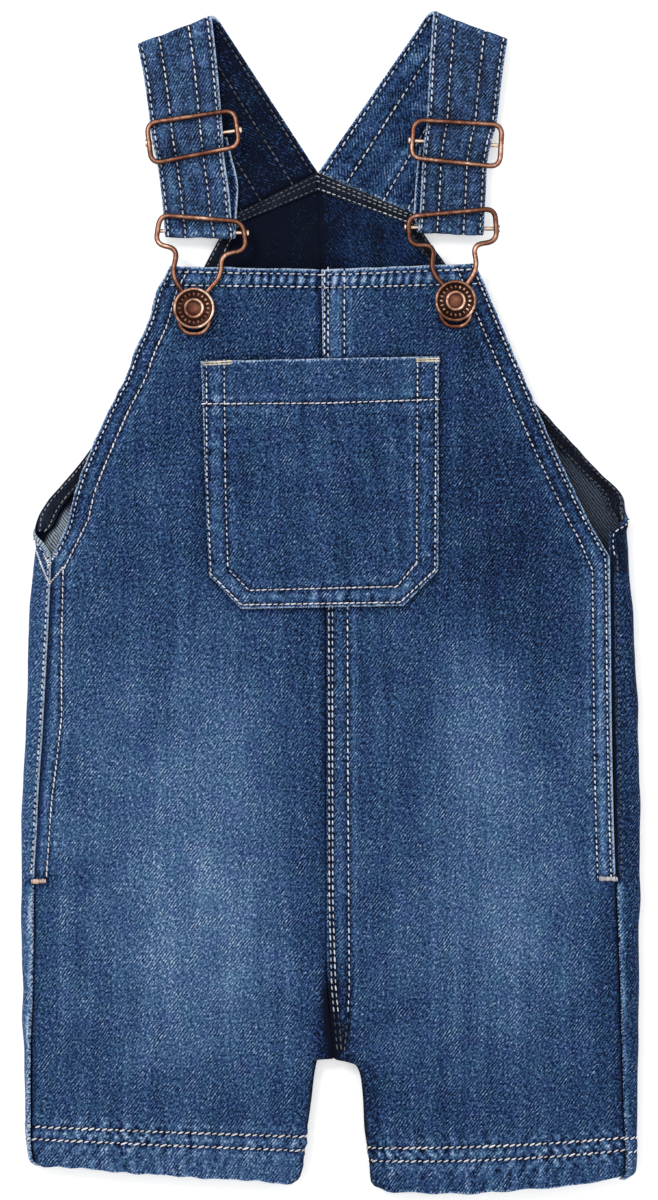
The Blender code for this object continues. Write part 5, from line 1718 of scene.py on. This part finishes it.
def tube(path, radius, closed):
    """A round rod along a path: its points, its faces and how bright each is, worn and with a
    painted highlight on top.
    """
    path = np.array(path, float)
    ahead = np.roll(path, -1, 0) if closed else np.vstack([path[1:], path[-1:]])
    behind = np.roll(path, 1, 0) if closed else np.vstack([path[:1], path[:-1]])
    run = ahead - behind
    run /= np.linalg.norm(run, axis=1, keepdims=True)
    sideways = np.cross(run, (0, 0, 1.0))
    sideways /= np.linalg.norm(sideways, axis=1, keepdims=True)
    up = np.cross(sideways, run)
    radius = np.broadcast_to(np.asarray(radius, float), len(path))[:, None, None]
    turn = np.arange(AROUND) * 2 * math.pi / AROUND
    cosine, sine = np.cos(turn)[None, :, None], np.sin(turn)[None, :, None]
    ring = cosine * sideways[:, None] + sine * up[:, None]
    points = (path[:, None] + ring * radius).reshape(-1, 3)
    faces = ring_faces(len(path), AROUND, closed)
    if not closed:
        faces.append(tuple(range(AROUND - 1, -1, -1)))
        faces.append(tuple(range(len(points) - AROUND, len(points))))
    # Painted light: each wire is darker on its underside and brighter on top, with a painted
    # highlight along its crest.
    crest_highlight = np.clip(ring[..., 2], 0, 1) ** 6
    return points, faces, (0.35 + 0.13 * ring[..., 2] + 0.40 * crest_highlight).reshape(-1)


def solid(name, parts, material):
    """One mesh from several closed parts, each turned outward."""
    points, faces, rubbed_and_lit = [], [], []
    for part_points, part_faces, part_rubbed_and_lit in parts:
        start = sum(len(group) for group in points)
        points.append(part_points)
        faces += [tuple(start + corner for corner in face) for face in part_faces]
        rubbed_and_lit.append(part_rubbed_and_lit)
    mesh = bpy.data.meshes.new(name)
    mesh.from_pydata((np.concatenate(points) * MM).tolist(), [], faces)
    shape = bmesh.new()
    shape.from_mesh(mesh)
    bmesh.ops.recalc_face_normals(shape, faces=shape.faces)
    shape.to_mesh(mesh)
    shape.free()
    mesh.shade_smooth()
    mesh.set_sharp_from_angle(angle=math.radians(48))
    attribute = mesh.attributes.new("rubbed_and_lit", "FLOAT", "POINT")
    attribute.data.foreach_set("value", np.concatenate(rubbed_and_lit))
    mesh.materials.append(material)
    return put(name, mesh)


def bar(ends):
    """A bar with a flared collar at each end."""
    start, end = np.array(ends[0]), np.array(ends[1])
    length = np.linalg.norm(end - start)
    low, high = COLLAR_LENGTH, length - COLLAR_LENGTH
    profile = (
        (0.0, 0.5), (0.0, 1.25), (0.3, 1.6), (1.0, COLLAR_RADIUS), (low - 0.3, 1.5),
        (low, BAR_RADIUS), (high, BAR_RADIUS), (high + 0.3, 1.5), (length - 1.0, COLLAR_RADIUS),
        (length - 0.3, 1.6), (length, 1.25), (length, 0.5),
    )
    path = [start + (end - start) * place / length for place, _ in profile]
    nudged = [point + (end - start) / length * 0.001 * i for i, point in enumerate(path)]
    points, faces, rubbed_and_lit = tube(nudged, [radius for _, radius in profile], False)
    return points, faces, rubbed_and_lit + 0.35


def wire_frame(name, corners, bend, bar_ends):
    """A bent wire frame and its bar."""
    path = rounded_loop(corners, bend, 9)
    spread = [path[0]]
    for point in path[1:]:
        if np.linalg.norm(point - spread[-1]) > 0.15:
            spread.append(point)
    return solid(name, [tube(spread, WIRE_RADIUS, True), bar(bar_ends)], copper)


BUTTON_RINGS = (
    (0.0, 4.62, 0.55), (1.2, 4.66, 0.6), (2.3, 4.6, 0.5), (2.75, 4.52, 0.25), (3.0, 4.62, 0.35),
    (3.25, 4.9, 0.7), (3.5, 5.0, 0.84), (3.9, 5.0, 0.84), (4.15, 4.9, 0.65), (4.4, 4.4, 0.2),
    (4.7, 4.2, 0.08), (5.9, 4.15, 0.12), (7.1, 4.18, 0.08), (7.4, 4.35, 0.2), (7.62, 4.8, 0.65),
    (7.85, 4.96, 0.84), (8.25, 4.95, 0.84), (8.55, 4.78, 0.7), (BUTTON_RADIUS, 4.4, 0.6),
    (BUTTON_RADIUS, 3.4, 0.35), (8.5, 3.0, 0.3), (8.1, 2.62, 0.2), (SHANK_RADIUS, 2.6, 0.15),
    (SHANK_RADIUS, 0.0, 0.15), (0.0, 0.0, 0.1),
)
BUTTON_STEPS = 64
BEADS = 20
BEAD_BAND = 4.2
BEAD_SIZES = {"Ring radius": 6.0 * MM, "Bead width": 0.5 * MM, "Bead length": 0.85 * MM}


def bead_group():
    """Beads set round a ring, each pointing to its middle."""
    inputs = [(name, "Float", size) for name, size in BEAD_SIZES.items()]
    inputs += [("Count", "Int", BEADS), ("Finish", "Material", None)]
    g = Group("beads_round_a_ring", inputs)
    given = g.given
    ring = g.out("MeshCircle", {"Vertices": given["Count"], "Radius": given["Ring radius"]})
    turned = g.out(TURN_TO, {"Vector": g.out("InputPosition")}, axis="X")
    bead = g.out("MeshUVSphere", {"Segments": 8, "Rings": 6})
    width = given["Bead width"]
    size = g.out("ShaderNodeCombineXYZ", {0: given["Bead length"], 1: width, 2: width})
    real = g.placed(ring, bead, turned, size)
    finished = g.out("SetMaterial", {"Geometry": real, "Material": given["Finish"]})
    g.feed(g.add("NodeGroupOutput").inputs[0], finished)
    return g


def ring_of_beads():
    """The beads as plain points and faces, standing on the button's band."""
    values = {**BEAD_SIZES, "Count": BEADS, "Finish": copper}
    holder = bead_group().made_from("beads", bpy.data.meshes.new("beads"), values)
    mesh = holder.data
    bpy.data.objects.remove(holder)
    points = np.array([vertex.co[:] for vertex in mesh.vertices]) / MM + (0, 0, BEAD_BAND)
    return points, [tuple(face.vertices) for face in mesh.polygons], np.full(len(points), 0.8)


def button(side, beads):
    """A button from its rings, with the middles of its face and its foot, and its beads."""
    points, rubbed_and_lit = [], []
    for radius, height, bright in BUTTON_RINGS[1:-1]:
        for step in range(BUTTON_STEPS):
            turn = 2 * math.pi * step / BUTTON_STEPS
            points.append((radius * math.cos(turn), radius * math.sin(turn), height))
            rubbed_and_lit.append(bright)
    top, foot = len(points), len(points) + 1
    faces = ring_faces(len(BUTTON_RINGS) - 2, BUTTON_STEPS)
    points += [(0, 0, BUTTON_RINGS[0][1]), (0, 0, 0.0)]
    rubbed_and_lit += [0.6, 0.1]
    last = top - BUTTON_STEPS
    for step in range(BUTTON_STEPS):
        ahead = (step + 1) % BUTTON_STEPS
        faces.append((step, ahead, top))
        faces.append((last + ahead, last + step, foot))
    x, y = BUTTON_CENTRES[side]
    at = np.array([x, y, float(front_height(np.array(x), np.array(y))) + CLOTH / 2 + GAP])
    # The left one is brighter than the right one.
    head = (np.array(points) + at, faces, np.array(rubbed_and_lit) + (0.12 if side < 0 else -0.03))
    ring = (beads[0] + at, beads[1], beads[2])
    return solid("dungaree_button_" + WORDS[side], [head, ring], copper)


beads = ring_of_beads()
for side in (-1, 1):
    word = WORDS[side]
    slider = wire_frame("slider_frame_" + word, SLIDER_CORNERS[side], 4.6, SLIDER_BAR[side])
    hook = wire_frame("button_hook_" + word, HOOK_CORNERS[side], 4.4, HOOK_BAR[side])
    head = button(side, beads)
    for piece, node in ((slider, "slider_"), (hook, "hook_"), (head, "button_")):
        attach(piece, "root")
        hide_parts(node + word)
        print(piece.name, "has", len(piece.data.polygons), "faces")

# %% [markdown]
# ## Table, light and camera
#
# The garment lies on a plain white table. One broad light stands off its upper left and a weaker
# one fills from the right, so that the folds read but no hard shadow falls. The camera looks
# straight down from a metre and a half, where a long lens keeps the edges square.

# %% Table, light and camera
FLOOR_HALF = 12.0
FLOOR_DROP = 0.0004
corners = [(x * FLOOR_HALF, y * FLOOR_HALF, -FLOOR_DROP)
           for x, y in ((-1, -1), (1, -1), (1, 1), (-1, 1))]
floor_mesh = bpy.data.meshes.new("floor")
floor_mesh.from_pydata(corners, [], [(0, 1, 2, 3)])
floor = put("floor", floor_mesh)
white = Material("white_table")
speck = white.solid_noise(40.0, 3.0)
# It glows a little, which keeps the garment's own shadow light.
white.feed(white.inputs["Emission Color"], (1.0, 1.0, 1.0, 1.0))
white.feed(white.inputs["Emission Strength"], 0.3)
top = white.ramp(speck, ((0.3, (0.93, 0.93, 0.93)), (0.7, (0.96, 0.96, 0.96))))
floor_mesh.materials.append(white.finish(top, 0.9))


def light(name, place, aim, size, power):
    lamp = bpy.data.lights.new(name, "AREA")
    lamp.shape = "DISK"
    lamp.size = size
    lamp.energy = power
    holder = put(name, lamp)
    holder.location = place
    holder.rotation_euler = (Vector(aim) - Vector(place)).to_track_quat("-Z", "Y").to_euler()
    print(name, "gives", power, "W")


light("key_light", (-0.9, 0.9, 1.5), (0, 0, 0), 0.7, 16)
light("fill_light", (1.2, -0.3, 1.3), (0, 0, 0), 1.2, 5)
world = bpy.data.worlds.new("studio")
world.use_nodes = True
background = world.node_tree.nodes["Background"]
background.inputs["Color"].default_value = (1.0, 1.0, 1.0, 1.0)
background.inputs["Strength"].default_value = 0.8
bpy.context.scene.world = world

lens = bpy.data.cameras.new("camera")
lens.lens = 120
lens.sensor_width = 36
lens.sensor_fit = "AUTO"
lens.clip_start = 0.05
camera = put("camera", lens)
camera.location = (-0.000735, 0.00063, 0.008 + 1.68)
bpy.context.scene.camera = camera
bpy.context.scene.view_settings.view_transform = "Standard"
print("Camera", round(camera.location.z, 3), "m above the table")

# %% [markdown]
# ## Done

# %% Done
bpy.context.view_layer.update()
